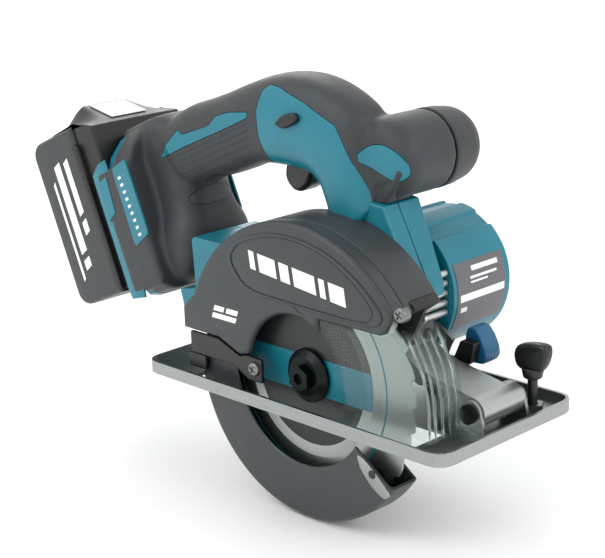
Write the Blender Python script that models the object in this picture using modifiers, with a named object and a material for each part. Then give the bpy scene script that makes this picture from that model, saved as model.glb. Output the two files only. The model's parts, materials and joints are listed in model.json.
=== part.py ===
"""A cordless metal-cutting circular saw, built as an assembly of named pieces.

X points the way the saw cuts, Y points to the motor's side and Z points up. The origin is on the sole's
underside, below the blade's axis and on the middle plane of the handle and battery. Sizes are in metres.
Each piece is one closed object. Pieces that touch keep a gap of JOINT_GAP.
"""

import math

import bmesh
import bpy
from mathutils import Matrix, Vector

MM = 0.001
JOINT_GAP = 0.3 * MM
RUN_GAP = 0.5 * MM
CUT_EXTRA = 5 * MM
FAR_OUT = 100 * MM
THROUGH_Y = (-FAR_OUT, FAR_OUT)
MERGE = 0.00002

# Blade and its axis. The blade stands BLADE_Y from the handle's middle plane.
BLADE_RADIUS = 75 * MM
BLADE_THICKNESS = 1.4 * MM
BLADE_TEETH = 32
TOOTH_DEPTH = 2.6 * MM
ARBOR_RADIUS = 10 * MM
BLADE_Y = -36 * MM
CUT_DEPTH = 56.5 * MM
AXIS_Z = BLADE_RADIUS - CUT_DEPTH

# Sole plate
SOLE_REAR = -115 * MM
SOLE_FRONT = 109 * MM
SOLE_NEAR = -57 * MM
SOLE_FAR = 53 * MM
SOLE_SHEET = 2 * MM
SOLE_RIM = 7.2 * MM
RIM_WALL = 1.8 * MM
SOLE_CORNER = 9 * MM

# Lower guard
GUARD_RADIUS = 80 * MM
GUARD_WALL = 1.5 * MM
GUARD_NEAR_Y = BLADE_Y - 9.5 * MM
GUARD_FAR_Y = BLADE_Y + 11 * MM
GUARD_WINDOW_RADIUS = 49 * MM
GUARD_HUB_RADIUS = 16 * MM
GUARD_FRONT_DEG = -35
GUARD_REAR_DEG = -185

# Blade case and its near cover
CASE_RADIUS = 86 * MM
CASE_WALL = 2 * MM
COVER_THICKNESS = 2 * MM
COVER_NEAR_Y = BLADE_Y - 13 * MM
CASE_BACK_Y = BLADE_Y + 14 * MM
CASE_BACK_THICKNESS = 2.5 * MM
CASE_FAR_Y = BLADE_Y + 25 * MM
CASE_FRONT_DEG = 35
CASE_REAR_DEG = 158
CASE_REAR_X = -89 * MM

# Gear train: pitch circles touch, so the centre distances follow from the tooth counts and modules.
SPINDLE_TEETH = 24
IDLER_PINION_TEETH = 12
IDLER_TEETH = 30
MOTOR_PINION_TEETH = 10
SPINDLE_MODULE = 1 * MM
MOTOR_MODULE = 1.225 * MM
SPINDLE_CENTRES = SPINDLE_MODULE * (SPINDLE_TEETH + IDLER_PINION_TEETH) / 2
MOTOR_CENTRES = MOTOR_MODULE * (IDLER_TEETH + MOTOR_PINION_TEETH) / 2
TRAIN_LEAN_DEG = 70
TRAIN_DIRECTION = Vector((math.cos(math.radians(TRAIN_LEAN_DEG)), math.sin(math.radians(TRAIN_LEAN_DEG))))
AXIS = Vector((0, AXIS_Z))
IDLER_AXIS = AXIS + TRAIN_DIRECTION * SPINDLE_CENTRES
MOTOR_AXIS = IDLER_AXIS + TRAIN_DIRECTION * MOTOR_CENTRES
SPINDLE_GEAR_Y = (-15 * MM, -6 * MM)
IDLER_GEAR_Y = (-2 * MM, 6 * MM)
SPINDLE_RADIUS = 6 * MM
IDLER_SHAFT_RADIUS = 4 * MM
ROTOR_SHAFT_RADIUS = 4 * MM

# Gear housing
GEAR_WALL = 1.6 * MM
GEAR_FLOOR = 3 * MM
GEAR_FAR_Y = 14 * MM
GEAR_NEAR_Y = CASE_BACK_Y + CASE_BACK_THICKNESS + JOINT_GAP
GEAR_TIP_ROOM = 0.6 * MM
TIP_SHARE = 0.72
ROOT_SHARE = 0.95

# Motor
MOTOR_RADIUS = 38.5 * MM
MOTOR_WALL = 2.5 * MM
MOTOR_NEAR_Y = GEAR_FAR_Y + 6 * MM
MOTOR_FAR_Y = 69 * MM
STATOR_RADIUS = MOTOR_RADIUS - MOTOR_WALL - 2 * MM
STATOR_Y = (25 * MM, 47 * MM)
ROTOR_RADIUS = 14 * MM
FAN_RADIUS = STATOR_RADIUS - 1 * MM
FAN_Y = (49.5 * MM, 55 * MM)
BEARING_RADIUS = 9 * MM
BEARING_WIDTH = 5 * MM

# Hinge at the front of the sole, about which the saw swings to set the depth
HINGE = Vector((92 * MM, 13 * MM))
KNUCKLE_RADIUS = 8.5 * MM
ARM_NEAR_Y = -13 * MM
ARM_FAR_Y = 20 * MM
ARM_THICKNESS = 4 * MM
EAR_THICKNESS = 2 * MM
EAR_RADIUS = 7.5 * MM
HINGE_SCREW_RADIUS = 3 * MM

# Depth guide and its clamp, both placed from the hinge
GUIDE_RADIUS = 50 * MM
GUIDE_WIDTH = 14 * MM
GUIDE_Y = (14.8 * MM, 17 * MM)
GUIDE_DEG = (194, 146)
CLAMP_DEG = 176
DEPTH_SWING_DEG = 22
CLAMP_RADIUS = 2.8 * MM
SLOT_ROOM = 0.5 * MM

# Battery: its length leans back from the vertical
BATTERY_LEAN_DEG = 23.5
BATTERY_FOOT = Vector((-197.6 * MM, 17 * MM))
BATTERY_LENGTH = 117 * MM
BATTERY_WIDTH = 75 * MM
BATTERY_BACK = -3 * MM
BATTERY_SHELL = 42 * MM
BATTERY_DEPTH = 60 * MM
BATTERY_HUMP = 12.5 * MM
HUMP_HALF = 26 * MM
HUMP_RIDGE = 35 * MM
HUMP_FALL = 17.5 * MM

# Handle and body
MOUNT_HALF = 35 * MM
BODY_NEAR_Y = CASE_FAR_Y + JOINT_GAP
BODY_FAR_Y = GEAR_FAR_Y
BARREL_AXIS = Vector((25 * MM, 134 * MM))
BARREL_RADIUS = 22 * MM
BARREL_Y = (-9 * MM, 60 * MM)

TEAL = (0.0, 0.235, 0.29)
CHARCOAL = (0.035, 0.04, 0.042)
BLACK = (0.01, 0.01, 0.01)
ALUMINIUM = (0.58, 0.6, 0.58)
STEEL = (0.5, 0.5, 0.5)
WHITE = (0.8, 0.82, 0.8)
CLEAR = (0.85, 0.88, 0.85)
COPPER = (0.7, 0.3, 0.12)


# ---------------------------------------------------------------- helpers


def clear_scene():
    for obj in list(bpy.data.objects):
        bpy.data.objects.remove(obj)


def collection(name):
    made = bpy.data.collections.new(name)
    bpy.context.scene.collection.children.link(made)
    return made


def material(name, colour, roughness=0.5, metallic=0.0):
    found = bpy.data.materials.get(name)
    if found:
        return found
    made = bpy.data.materials.new(name)
    made.use_nodes = True
    shader = made.node_tree.nodes["Principled BSDF"]
    shader.inputs["Base Color"].default_value = (*colour, 1)
    shader.inputs["Roughness"].default_value = roughness
    shader.inputs["Metallic"].default_value = metallic
    return made


def shown(obj, finish):
    """Puts a finished piece in the saw's collection, with its material and smooth round faces."""
    obj.data.materials.clear()
    obj.data.materials.append(finish)
    obj.data.shade_smooth()
    obj.data.set_sharp_from_angle(angle=math.radians(35))
    return obj


def mesh_object(name, mesh):
    obj = bpy.data.objects.new(name, mesh)
    PARTS.objects.link(obj)
    return obj


def from_bmesh(name, bm):
    mesh = bpy.data.meshes.new(name)
    bmesh.ops.remove_doubles(bm, verts=bm.verts, dist=MERGE)
    bmesh.ops.recalc_face_normals(bm, faces=bm.faces)
    bm.to_mesh(mesh)
    bm.free()
    return mesh_object(name, mesh)


def evaluated_copy(obj, name):
    """A plain mesh object of what obj's curve or modifiers make, in world space. obj is removed."""
    bpy.context.view_layer.update()
    graph = bpy.context.evaluated_depsgraph_get()
    mesh = bpy.data.meshes.new_from_object(obj.evaluated_get(graph))
    mesh.transform(obj.matrix_world)
    bpy.data.objects.remove(obj)
    bm = bmesh.new()
    bm.from_mesh(mesh)
    made = from_bmesh(name, bm)
    bpy.data.meshes.remove(mesh)
    return made


def outline_curve(name, outlines, depth):
    curve = bpy.data.curves.new(name, "CURVE")
    curve.dimensions = "2D"
    curve.fill_mode = "BOTH"
    curve.extrude = depth / 2
    for outline in outlines:
        spline = curve.splines.new("POLY")
        spline.points.add(len(outline) - 1)
        for point, (a, b) in zip(spline.points, outline):
            point.co = (a, b, 0, 1)
        spline.use_cyclic_u = True
    obj = bpy.data.objects.new(name, curve)
    PARTS.objects.link(obj)
    return obj


def slab(name, outline, y_range, holes=()):
    """A plate whose outline lies in XZ, from y_range[0] to y_range[1]."""
    low, high = min(y_range), max(y_range)
    obj = outline_curve(name + ".outline", [outline, *holes], high - low)
    obj.matrix_world = Matrix.Translation((0, (low + high) / 2, 0)) @ Matrix.Rotation(math.pi / 2, 4, "X")
    return evaluated_copy(obj, name)


def plate(name, outline, z_range, holes=()):
    """A plate whose outline lies in XY, from z_range[0] to z_range[1]."""
    low, high = min(z_range), max(z_range)
    obj = outline_curve(name + ".outline", [outline, *holes], high - low)
    obj.matrix_world = Matrix.Translation((0, 0, (low + high) / 2))
    return evaluated_copy(obj, name)


def block(name, low, high):
    bm = bmesh.new()
    bmesh.ops.create_cube(bm, size=1)
    size = [b - a for a, b in zip(low, high)]
    middle = [(a + b) / 2 for a, b in zip(low, high)]
    bmesh.ops.scale(bm, vec=size, verts=bm.verts)
    bmesh.ops.translate(bm, vec=middle, verts=bm.verts)
    return from_bmesh(name, bm)


def arc(centre, radius, start, end, steps):
    """Points on a circle in degrees, from +X towards the second axis."""
    turn = [math.radians(start + (end - start) * i / steps) for i in range(steps + 1)]
    return [(centre[0] + radius * math.cos(t), centre[1] + radius * math.sin(t)) for t in turn]


def circle(centre, radius, steps=24, phase=0):
    return arc(centre, radius, phase, phase + 360, steps)[:-1]


def drum(name, centre, radius, y_range, steps=24, phase=0):
    """A solid cylinder along Y."""
    return slab(name, circle(centre, radius, steps, phase), y_range)


def ring(name, centre, outer, inner, y_range, steps=24):
    return slab(name, circle(centre, outer, steps), y_range, [circle(centre, inner, steps)])


def turned(name, centre, profile, steps=24):
    """A profile of (radius, y) turned about the line along Y through centre."""
    mesh = bpy.data.meshes.new(name)
    points = [(r, y, 0) for r, y in profile]
    mesh.from_pydata(points, [(i, i + 1) for i in range(len(points) - 1)], [])
    obj = mesh_object(name + ".profile", mesh)
    obj.location = (centre[0], 0, centre[1])
    screw = obj.modifiers.new("turn", "SCREW")
    screw.axis = "Y"
    screw.steps = steps
    screw.render_steps = steps
    screw.use_merge_vertices = True
    screw.merge_threshold = MERGE
    return evaluated_copy(obj, name)


def combine(target, other, operation):
    """target joined with, or cut by, other, which is used up."""
    name, finish = target.name, operation
    modifier = target.modifiers.new("combine", "BOOLEAN")
    modifier.operation = finish
    modifier.object = other
    target.name = name + ".before"
    made = evaluated_copy(target, name)
    bpy.data.objects.remove(other)
    return made


def cut(target, *cutters):
    for cutter in cutters:
        target = combine(target, cutter, "DIFFERENCE")
    return target


def join(target, *others):
    for other in others:
        target = combine(target, other, "UNION")
    return target


def rounded(obj, width, segments=2):
    """obj with its edges of over 40 degrees rounded."""
    name = obj.name
    bevel = obj.modifiers.new("round", "BEVEL")
    bevel.width = width
    bevel.segments = segments
    bevel.limit_method = "ANGLE"
    bevel.angle_limit = math.radians(40)
    obj.name = name + ".sharp"
    return evaluated_copy(obj, name)


def rounded_rectangle(low, high, radius, steps=3):
    corners = (
        ((high[0] - radius, high[1] - radius), 0),
        ((low[0] + radius, high[1] - radius), 90),
        ((low[0] + radius, low[1] + radius), 180),
        ((high[0] - radius, low[1] + radius), 270),
    )
    return [p for centre, start in corners for p in arc(centre, radius, start, start + 90, steps)]


def gear_outline(centre, teeth, module, phase):
    """A spur gear's outline: straight-flanked teeth with backlash. A tooth points along phase, in degrees."""
    pitch = teeth * module / 2
    tip, root = pitch + TIP_SHARE * module, pitch - ROOT_SHARE * module
    step = 360 / teeth
    points = []
    for i in range(teeth):
        middle = phase + i * step
        for share, radius in ((-0.30, root), (-0.11, tip), (0.11, tip), (0.30, root)):
            points += arc(centre, radius, middle + share * step, middle + share * step, 1)[:1]
    return points


def battery_point(along, forward):
    """A point in XZ, from lengths up the battery and forward from its back face."""
    lean = math.radians(BATTERY_LEAN_DEG)
    up = Vector((-math.sin(lean), math.cos(lean)))
    front = Vector((math.cos(lean), math.sin(lean)))
    return tuple(BATTERY_FOOT + up * along + front * forward)


def from_axis(*points):
    """Points given in millimetres from the blade's axis, as points in XZ."""
    return [(x * MM, AXIS_Z + z * MM) for x, z in points]


def moved(outline, dx=0.0, dz=0.0):
    return [(x + dx, z + dz) for x, z in outline]


def belt(circles, steps=30):
    """The outline of a belt drawn tight round circles, each a centre and a radius."""
    points = sorted(p for centre, radius in circles for p in circle(centre, radius, steps))
    sides = []
    for line in (points, points[::-1]):
        side = []
        for p in line:
            while len(side) > 1 and turns_right(side[-2], side[-1], p):
                side.pop()
            side.append(p)
        sides += side[:-1]
    return sides


def turns_right(a, b, c):
    return (b[0] - a[0]) * (c[1] - a[1]) - (b[1] - a[1]) * (c[0] - a[0]) <= 0


# ---------------------------------------------------------------- sole plate and what it carries


def ear(y_range):
    low_z = SOLE_SHEET - 0.5 * MM
    outline = arc(HINGE, EAR_RADIUS, 0, 180, 10)
    outline += [(HINGE.x - EAR_RADIUS - 3 * MM, low_z), (HINGE.x + EAR_RADIUS + 3 * MM, low_z)]
    return slab("ear", outline, y_range, [circle(HINGE, HINGE_SCREW_RADIUS + JOINT_GAP, 16)])


def sole_plate():
    outer = rounded_rectangle((SOLE_REAR, SOLE_NEAR), (SOLE_FRONT, SOLE_FAR), SOLE_CORNER)
    inner = rounded_rectangle(
        (SOLE_REAR + RIM_WALL, SOLE_NEAR + RIM_WALL),
        (SOLE_FRONT - RIM_WALL, SOLE_FAR - RIM_WALL),
        SOLE_CORNER - RIM_WALL,
    )
    sole = plate("sole_plate", outer, (0, SOLE_RIM))
    sole = cut(sole, plate("pan", inner, (SOLE_SHEET, SOLE_RIM + CUT_EXTRA)))
    slot_half = GUARD_RADIUS + 2.5 * MM
    slot_low = (-slot_half, GUARD_NEAR_Y - 2 * MM, -CUT_EXTRA)
    slot_high = (slot_half, GUARD_FAR_Y + 3.5 * MM, SOLE_RIM + CUT_EXTRA)
    sole = cut(sole, block("slot", slot_low, slot_high))
    near = (ARM_NEAR_Y - JOINT_GAP - EAR_THICKNESS, ARM_NEAR_Y - JOINT_GAP)
    far = (ARM_FAR_Y + JOINT_GAP, ARM_FAR_Y + JOINT_GAP + EAR_THICKNESS)
    return shown(join(sole, ear(near), ear(far)), material("satin metal", ALUMINIUM, 0.35, 0.9))


def hinge_pin():
    head = HINGE_SCREW_RADIUS + 2.2 * MM
    near = ARM_NEAR_Y - 2 * JOINT_GAP - EAR_THICKNESS
    far = ARM_FAR_Y + 2 * JOINT_GAP + EAR_THICKNESS
    profile = [
        (0, near - 2 * MM),
        (head, near - 2 * MM),
        (head, near),
        (HINGE_SCREW_RADIUS, near),
        (HINGE_SCREW_RADIUS, far),
        (head, far),
        (head, far + 2 * MM),
        (0, far + 2 * MM),
    ]
    return shown(turned("hinge_pin", HINGE, profile, 16), material("black steel", BLACK, 0.35, 0.8))


def guide_point(radius, degrees):
    return arc(HINGE, radius, degrees, degrees, 1)[0]


def depth_guide():
    inner, outer = GUIDE_RADIUS - GUIDE_WIDTH / 2, GUIDE_RADIUS + GUIDE_WIDTH / 2
    low, high = GUIDE_DEG
    outline = arc(HINGE, outer, low, high, 10) + arc(HINGE, inner, high, low, 10)
    room = CLAMP_RADIUS + SLOT_ROOM
    first, last = CLAMP_DEG + 4, CLAMP_DEG - DEPTH_SWING_DEG - 4
    slot = arc(HINGE, GUIDE_RADIUS + room, first, last, 10) + arc(HINGE, GUIDE_RADIUS - room, last, first, 10)
    guide = slab("depth_guide", outline, GUIDE_Y, [slot])
    foot_z = SOLE_SHEET + JOINT_GAP
    guide = cut(guide, block("floor", (-FAR_OUT, -FAR_OUT, -FAR_OUT), (2 * FAR_OUT, FAR_OUT, foot_z + 0.8 * MM)))
    middle = guide_point(GUIDE_RADIUS, low)[0]
    foot_low = (middle - GUIDE_WIDTH / 2, GUIDE_Y[0], foot_z)
    foot_high = (middle + GUIDE_WIDTH / 2, GUIDE_Y[1] + 12 * MM, foot_z + 1.6 * MM)
    guide = join(guide, block("foot", foot_low, foot_high))
    return shown(guide, material("zinc steel", STEEL, 0.4, 0.9))


KNOB_AXIS = Vector((95.8 * MM, 32 * MM))
KNOB_STEM_RADIUS = 3 * MM
NUT_HEIGHT = 4 * MM
PADDLE = ((-6, 24), (5, 24), (9.5, 29), (11.5, 37), (9.5, 41.5), (-7, 39), (-11, 34), (-10, 27))


def clamp_nut():
    outline = circle(KNOB_AXIS, 6.5 * MM, 6)
    nut_z = (SOLE_SHEET + JOINT_GAP, SOLE_SHEET + JOINT_GAP + NUT_HEIGHT)
    nut = plate("clamp_nut", outline, nut_z, [circle(KNOB_AXIS, KNOB_STEM_RADIUS + JOINT_GAP, 16)])
    return shown(nut, material("zinc steel", STEEL, 0.4, 0.9))


def wing_screw():
    """A stem and collar under one rounded paddle that the fingers turn."""
    x, y = KNOB_AXIS
    stem = plate("wing_screw", circle(KNOB_AXIS, KNOB_STEM_RADIUS, 16), (SOLE_SHEET + 1.2 * MM, 24 * MM))
    collar = plate("collar", circle(KNOB_AXIS, 6 * MM, 16), (19 * MM, 27 * MM))
    paddle = [(x + across * MM, up * MM) for across, up in PADDLE]
    wing = rounded(slab("wing", paddle, (y - 3.5 * MM, y + 3.5 * MM)), 1.5 * MM, 2)
    return shown(join(stem, collar, wing), material("black plastic", BLACK, 0.4))


# ---------------------------------------------------------------- gear housing and front arm


HOUSING_FRONT_X = 38 * MM
ARM_PAD_Z = (23 * MM, 48 * MM)
ARM_PAD_CORNER = 3 * MM
MOTOR_END_RADIUS = 23 * MM


def housing_outline(extra=0.0):
    room = GEAR_TIP_ROOM + GEAR_WALL + extra
    idler_room = (IDLER_TEETH / 2 + TIP_SHARE) * MOTOR_MODULE + room
    spindle_room = (SPINDLE_TEETH / 2 + TIP_SHARE) * SPINDLE_MODULE + room
    pad = ARM_PAD_CORNER + extra
    x = HOUSING_FRONT_X - ARM_PAD_CORNER
    low, high = (x, ARM_PAD_Z[0] + ARM_PAD_CORNER), (x, ARM_PAD_Z[1] - ARM_PAD_CORNER)
    motor_room = MOTOR_END_RADIUS + extra
    return belt(
        ((AXIS, spindle_room), (IDLER_AXIS, idler_room), (MOTOR_AXIS, motor_room), (low, pad), (high, pad))
    )


COVER_PLATE = 2.2 * MM


def gear_housing():
    far = GEAR_FAR_Y - COVER_PLATE - JOINT_GAP
    housing = slab("gear_housing", housing_outline(), (GEAR_NEAR_Y, far))
    inside = slab("inside", housing_outline(-GEAR_WALL), (GEAR_NEAR_Y + GEAR_FLOOR, far + CUT_EXTRA))
    bearing = drum("bearing hole", AXIS, SEAT_RADIUS, (GEAR_NEAR_Y - CUT_EXTRA, far))
    return shown(cut(housing, inside, bearing), material("cast aluminium", ALUMINIUM, 0.45, 0.9))


def gear_cover():
    holes = [
        circle(MOTOR_AXIS, BEARING_RADIUS + JOINT_GAP),
        circle(IDLER_AXIS, IDLER_SHAFT_RADIUS + JOINT_GAP, 16),
    ]
    cover = slab("gear_cover", housing_outline(), (GEAR_FAR_Y - COVER_PLATE, GEAR_FAR_Y), holes)
    return shown(cover, material("cast aluminium", ALUMINIUM, 0.45, 0.9))


ARM_REAR_Z = 33 * MM
ARM_PAD_THICKNESS = 5 * MM
CLAMP_AXIS = Vector(guide_point(GUIDE_RADIUS, CLAMP_DEG))


def front_arm():
    """A cast arm: a knuckle on the hinge, a plate rising rearward, a pad on the gear housing, a clamp boss."""
    rear = HOUSING_FRONT_X + JOINT_GAP
    pad_x = rear + ARM_PAD_THICKNESS
    half = ARM_THICKNESS / 2
    top = [(HINGE.x - 14 * MM, HINGE.y + 11 * MM), (HINGE.x - 36 * MM, HINGE.y + 15.5 * MM)]
    outline = arc(HINGE, KNUCKLE_RADIUS, -110, 92, 12)
    outline += top + [(pad_x, ARM_REAR_Z + half), (pad_x, ARM_PAD_Z[1] - 2 * MM)]
    outline += [(rear, ARM_PAD_Z[1] - 2 * MM), (rear, ARM_PAD_Z[0])]
    outline += [(pad_x, ARM_PAD_Z[0]), (pad_x, ARM_REAR_Z - half)]
    outline += [(x, z - ARM_THICKNESS) for x, z in reversed(top)]
    outline += [(HINGE.x - 9.5 * MM, HINGE.y + 2 * MM)]
    bore = circle(HINGE, HINGE_SCREW_RADIUS + JOINT_GAP, 16)
    arm = slab("front_arm", outline, (ARM_NEAR_Y, ARM_FAR_Y - 6 * MM))
    knuckle = drum("knuckle", HINGE, KNUCKLE_RADIUS - 0.1 * MM, (ARM_FAR_Y - 8 * MM, ARM_FAR_Y))
    boss = drum("boss", CLAMP_AXIS, 5.5 * MM, (4 * MM, GUIDE_Y[0] - 2 * JOINT_GAP))
    foot = (CLAMP_AXIS.x - 3 * MM, 4.5 * MM, CLAMP_AXIS.y + 2 * MM)
    web = block("web", foot, (CLAMP_AXIS.x + 1 * MM, 13 * MM, ARM_PAD_Z[0] + 2 * MM))
    arm = join(arm, knuckle, boss, web)
    arm = cut(arm, slab("bore", bore, (ARM_NEAR_Y - CUT_EXTRA, ARM_FAR_Y + CUT_EXTRA)))
    return shown(arm, material("polished aluminium", ALUMINIUM, 0.2, 1.0))


FIN_COUNT = 5
FIN_X = (44 * MM, 50 * MM)
FIN_Y = (BODY_FAR_Y + JOINT_GAP, 19.4 * MM)
FIN_Z = (47 * MM, 74 * MM)


def cooling_fins():
    """Bars across the air outlet beside the motor, on one upright web."""
    web = block("cooling_fins", (FIN_X[0], FIN_Y[0], FIN_Z[0]), (FIN_X[0] + 2 * MM, FIN_Y[1], FIN_Z[1]))
    step = (FIN_Z[1] - FIN_Z[0]) / FIN_COUNT
    for i in range(FIN_COUNT):
        middle = FIN_Z[0] + (i + 0.5) * step
        low = (FIN_X[0] + 0.5 * MM, FIN_Y[0], middle - 1.5 * MM)
        web = join(web, block("fin", low, (FIN_X[1], FIN_Y[1], middle + 1.5 * MM)))
    return shown(web, material("cast aluminium", ALUMINIUM, 0.45, 0.9))


def motor_mount():
    y_range = (GEAR_FAR_Y + JOINT_GAP, MOTOR_NEAR_Y - JOINT_GAP)
    mount = ring("motor_mount", MOTOR_AXIS, 20 * MM, BEARING_RADIUS + JOINT_GAP, y_range)
    return shown(mount, material("cast aluminium", ALUMINIUM, 0.45, 0.9))


# ---------------------------------------------------------------- blade, spindle and gears

SEAT_RADIUS = 13.3 * MM
RETAINER_RADIUS = GUARD_HUB_RADIUS - RUN_GAP
RETAINER_Y = (BLADE_Y + 8.5 * MM, CASE_BACK_Y - JOINT_GAP)
SPINDLE_BEARING_Y = (RETAINER_Y[0] + 0.5 * MM, SPINDLE_GEAR_Y[0] - RUN_GAP)
FLANGE_RADIUS = 15 * MM
BOLT_RADIUS = 4 * MM
BLADE_HALF = BLADE_THICKNESS / 2


def bearing_retainer():
    made = ring("bearing_retainer", AXIS, RETAINER_RADIUS, SEAT_RADIUS, RETAINER_Y, 32)
    return shown(made, material("cast aluminium", ALUMINIUM, 0.45, 0.9))


def bearing(name, centre, outer, inner, y_range):
    made = ring(name, centre, outer - JOINT_GAP, inner + JOINT_GAP, y_range, 20)
    return shown(made, material("bearing steel", STEEL, 0.25, 1.0))


def spindle():
    near, far = BLADE_Y - BLADE_HALF - 0.8 * MM, SPINDLE_GEAR_Y[1] + 2 * MM
    made = drum("spindle", AXIS, SPINDLE_RADIUS, (near, far), 20)
    hole = drum("bolt hole", AXIS, BOLT_RADIUS + JOINT_GAP, (near - CUT_EXTRA, near + 13 * MM), 16)
    return shown(cut(made, hole), material("bright steel", STEEL, 0.3, 1.0))


def gear(name, centre, teeth, module, y_range, phase, bore):
    outline = gear_outline(centre, teeth, module, phase)
    holes = [circle(centre, bore + JOINT_GAP, 20)] if bore else []
    return shown(slab(name, outline, y_range, holes), material("gear steel", STEEL, 0.35, 1.0))


def spindle_gear():
    return gear(
        "spindle_gear", AXIS, SPINDLE_TEETH, SPINDLE_MODULE, SPINDLE_GEAR_Y, TRAIN_LEAN_DEG, SPINDLE_RADIUS
    )


def idler_shaft():
    """The countershaft, with the pinion cut on it."""
    half_tooth = 180 / IDLER_PINION_TEETH
    pinion = gear_outline(IDLER_AXIS, IDLER_PINION_TEETH, SPINDLE_MODULE, TRAIN_LEAN_DEG + 180 + half_tooth)
    shaft_y = (GEAR_NEAR_Y + GEAR_FLOOR + RUN_GAP, GEAR_FAR_Y - RUN_GAP)
    shaft = drum("idler_shaft", IDLER_AXIS, IDLER_SHAFT_RADIUS, shaft_y, 16)
    return shown(join(shaft, slab("pinion", pinion, SPINDLE_GEAR_Y)), material("gear steel", STEEL, 0.35, 1.0))


def idler_gear():
    return gear(
        "idler_gear", IDLER_AXIS, IDLER_TEETH, MOTOR_MODULE, IDLER_GEAR_Y, TRAIN_LEAN_DEG, IDLER_SHAFT_RADIUS
    )


def inner_flange():
    seat = BLADE_Y + BLADE_HALF + JOINT_GAP
    made = drum("inner_flange", AXIS, FLANGE_RADIUS, (seat, seat + 3.5 * MM), 32)
    boss = drum("boss", AXIS, ARBOR_RADIUS - JOINT_GAP, (seat - 1.2 * MM, seat + 1 * MM), 32)
    bore = drum("bore", AXIS, SPINDLE_RADIUS + JOINT_GAP, (seat - CUT_EXTRA, seat + 2 * CUT_EXTRA), 20)
    return shown(cut(join(made, boss), bore), material("bright steel", STEEL, 0.3, 1.0))


def saw_blade():
    points = []
    step = 360 / BLADE_TEETH
    for i in range(BLADE_TEETH):
        start = i * step
        points += arc(AXIS, BLADE_RADIUS, start, start, 1)[:1]
        points += arc(AXIS, BLADE_RADIUS - 0.4 * MM, start + 0.34 * step, start + 0.34 * step, 1)[:1]
        points += arc(AXIS, BLADE_RADIUS - TOOTH_DEPTH, start + 0.86 * step, start + 0.86 * step, 1)[:1]
    y_range = (BLADE_Y - BLADE_HALF, BLADE_Y + BLADE_HALF)
    made = slab("saw_blade", points, y_range, [circle(AXIS, ARBOR_RADIUS, 32)])
    return shown(made, material("blade steel", STEEL, 0.3, 1.0))


FLANGE_THICKNESS = 5 * MM


def outer_flange():
    seat = BLADE_Y - BLADE_HALF - JOINT_GAP
    bore = BOLT_RADIUS + JOINT_GAP
    profile = [
        (bore, seat - FLANGE_THICKNESS),
        (FLANGE_RADIUS - 4 * MM, seat - FLANGE_THICKNESS),
        (FLANGE_RADIUS, seat - FLANGE_THICKNESS + 3 * MM),
        (FLANGE_RADIUS, seat),
        (ARBOR_RADIUS, seat),
        (ARBOR_RADIUS, seat - 1.2 * MM),
        (bore, seat - 1.2 * MM),
        (bore, seat - FLANGE_THICKNESS),
    ]
    return shown(turned("outer_flange", AXIS, profile, 32), material("black steel", BLACK, 0.35, 0.8))


def blade_bolt():
    """A hexagon bolt with a hexagon socket in its head."""
    under = BLADE_Y - BLADE_HALF - 2 * JOINT_GAP - FLANGE_THICKNESS
    head = drum("blade_bolt", AXIS, 7.6 * MM, (under - 4 * MM, under), 6, 30)
    shank = drum("shank", AXIS, BOLT_RADIUS, (under - 1 * MM, under + 16 * MM), 16)
    socket = drum("socket", AXIS, 3.4 * MM, (under - CUT_EXTRA, under - 1.5 * MM), 6, 30)
    return shown(cut(join(head, shank), socket), material("black steel", BLACK, 0.35, 0.8))


# ---------------------------------------------------------------- motor


def motor_housing():
    near = (MOTOR_NEAR_Y, BEARING_RADIUS + JOINT_GAP)
    inside = MOTOR_RADIUS - MOTOR_WALL
    far = MOTOR_FAR_Y - 3 * MM
    profile = [
        (near[1], near[0]),
        (MOTOR_RADIUS, near[0]),
        (MOTOR_RADIUS, MOTOR_FAR_Y - 5 * MM),
        (MOTOR_RADIUS - 5 * MM, MOTOR_FAR_Y),
        (BEARING_RADIUS, MOTOR_FAR_Y),
        (BEARING_RADIUS, far),
        (inside - 4 * MM, far),
        (inside, far - 4 * MM),
        (inside, near[0] + 2.5 * MM),
        (near[1], near[0] + 2.5 * MM),
        (near[1], near[0]),
    ]
    return shown(turned("motor_housing", MOTOR_AXIS, profile, 36), material("teal plastic", TEAL, 0.4))


def motor_end_cap():
    """The cap over the rear bearing, in the middle of the housing's end."""
    y_range = (MOTOR_FAR_Y - 3 * MM, MOTOR_FAR_Y + 0.6 * MM)
    cap = drum("motor_end_cap", MOTOR_AXIS, BEARING_RADIUS - JOINT_GAP, y_range, 20)
    return shown(cap, material("charcoal plastic", CHARCOAL, 0.5))


def stator():
    y_range = (STATOR_Y[0], STATOR_Y[1])
    made = ring("stator", MOTOR_AXIS, STATOR_RADIUS, ROTOR_RADIUS + RUN_GAP, y_range, 24)
    return shown(made, material("winding copper", COPPER, 0.4, 0.9))


def rotor_core():
    y_range = (STATOR_Y[0] + 1 * MM, STATOR_Y[1] - 1 * MM)
    made = ring("rotor_core", MOTOR_AXIS, ROTOR_RADIUS, ROTOR_SHAFT_RADIUS + JOINT_GAP, y_range, 20)
    return shown(made, material("rotor steel", STEEL, 0.4, 1.0))


def rotor_shaft():
    half_tooth = 180 / MOTOR_PINION_TEETH
    pinion = gear_outline(MOTOR_AXIS, MOTOR_PINION_TEETH, MOTOR_MODULE, TRAIN_LEAN_DEG + 180 + half_tooth)
    shaft_y = (IDLER_GEAR_Y[0] + 1 * MM, MOTOR_FAR_Y - 4 * MM)
    shaft = drum("rotor_shaft", MOTOR_AXIS, ROTOR_SHAFT_RADIUS, shaft_y, 16)
    return shown(join(shaft, slab("pinion", pinion, IDLER_GEAR_Y)), material("gear steel", STEEL, 0.35, 1.0))


FAN_BLADES = 9


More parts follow.
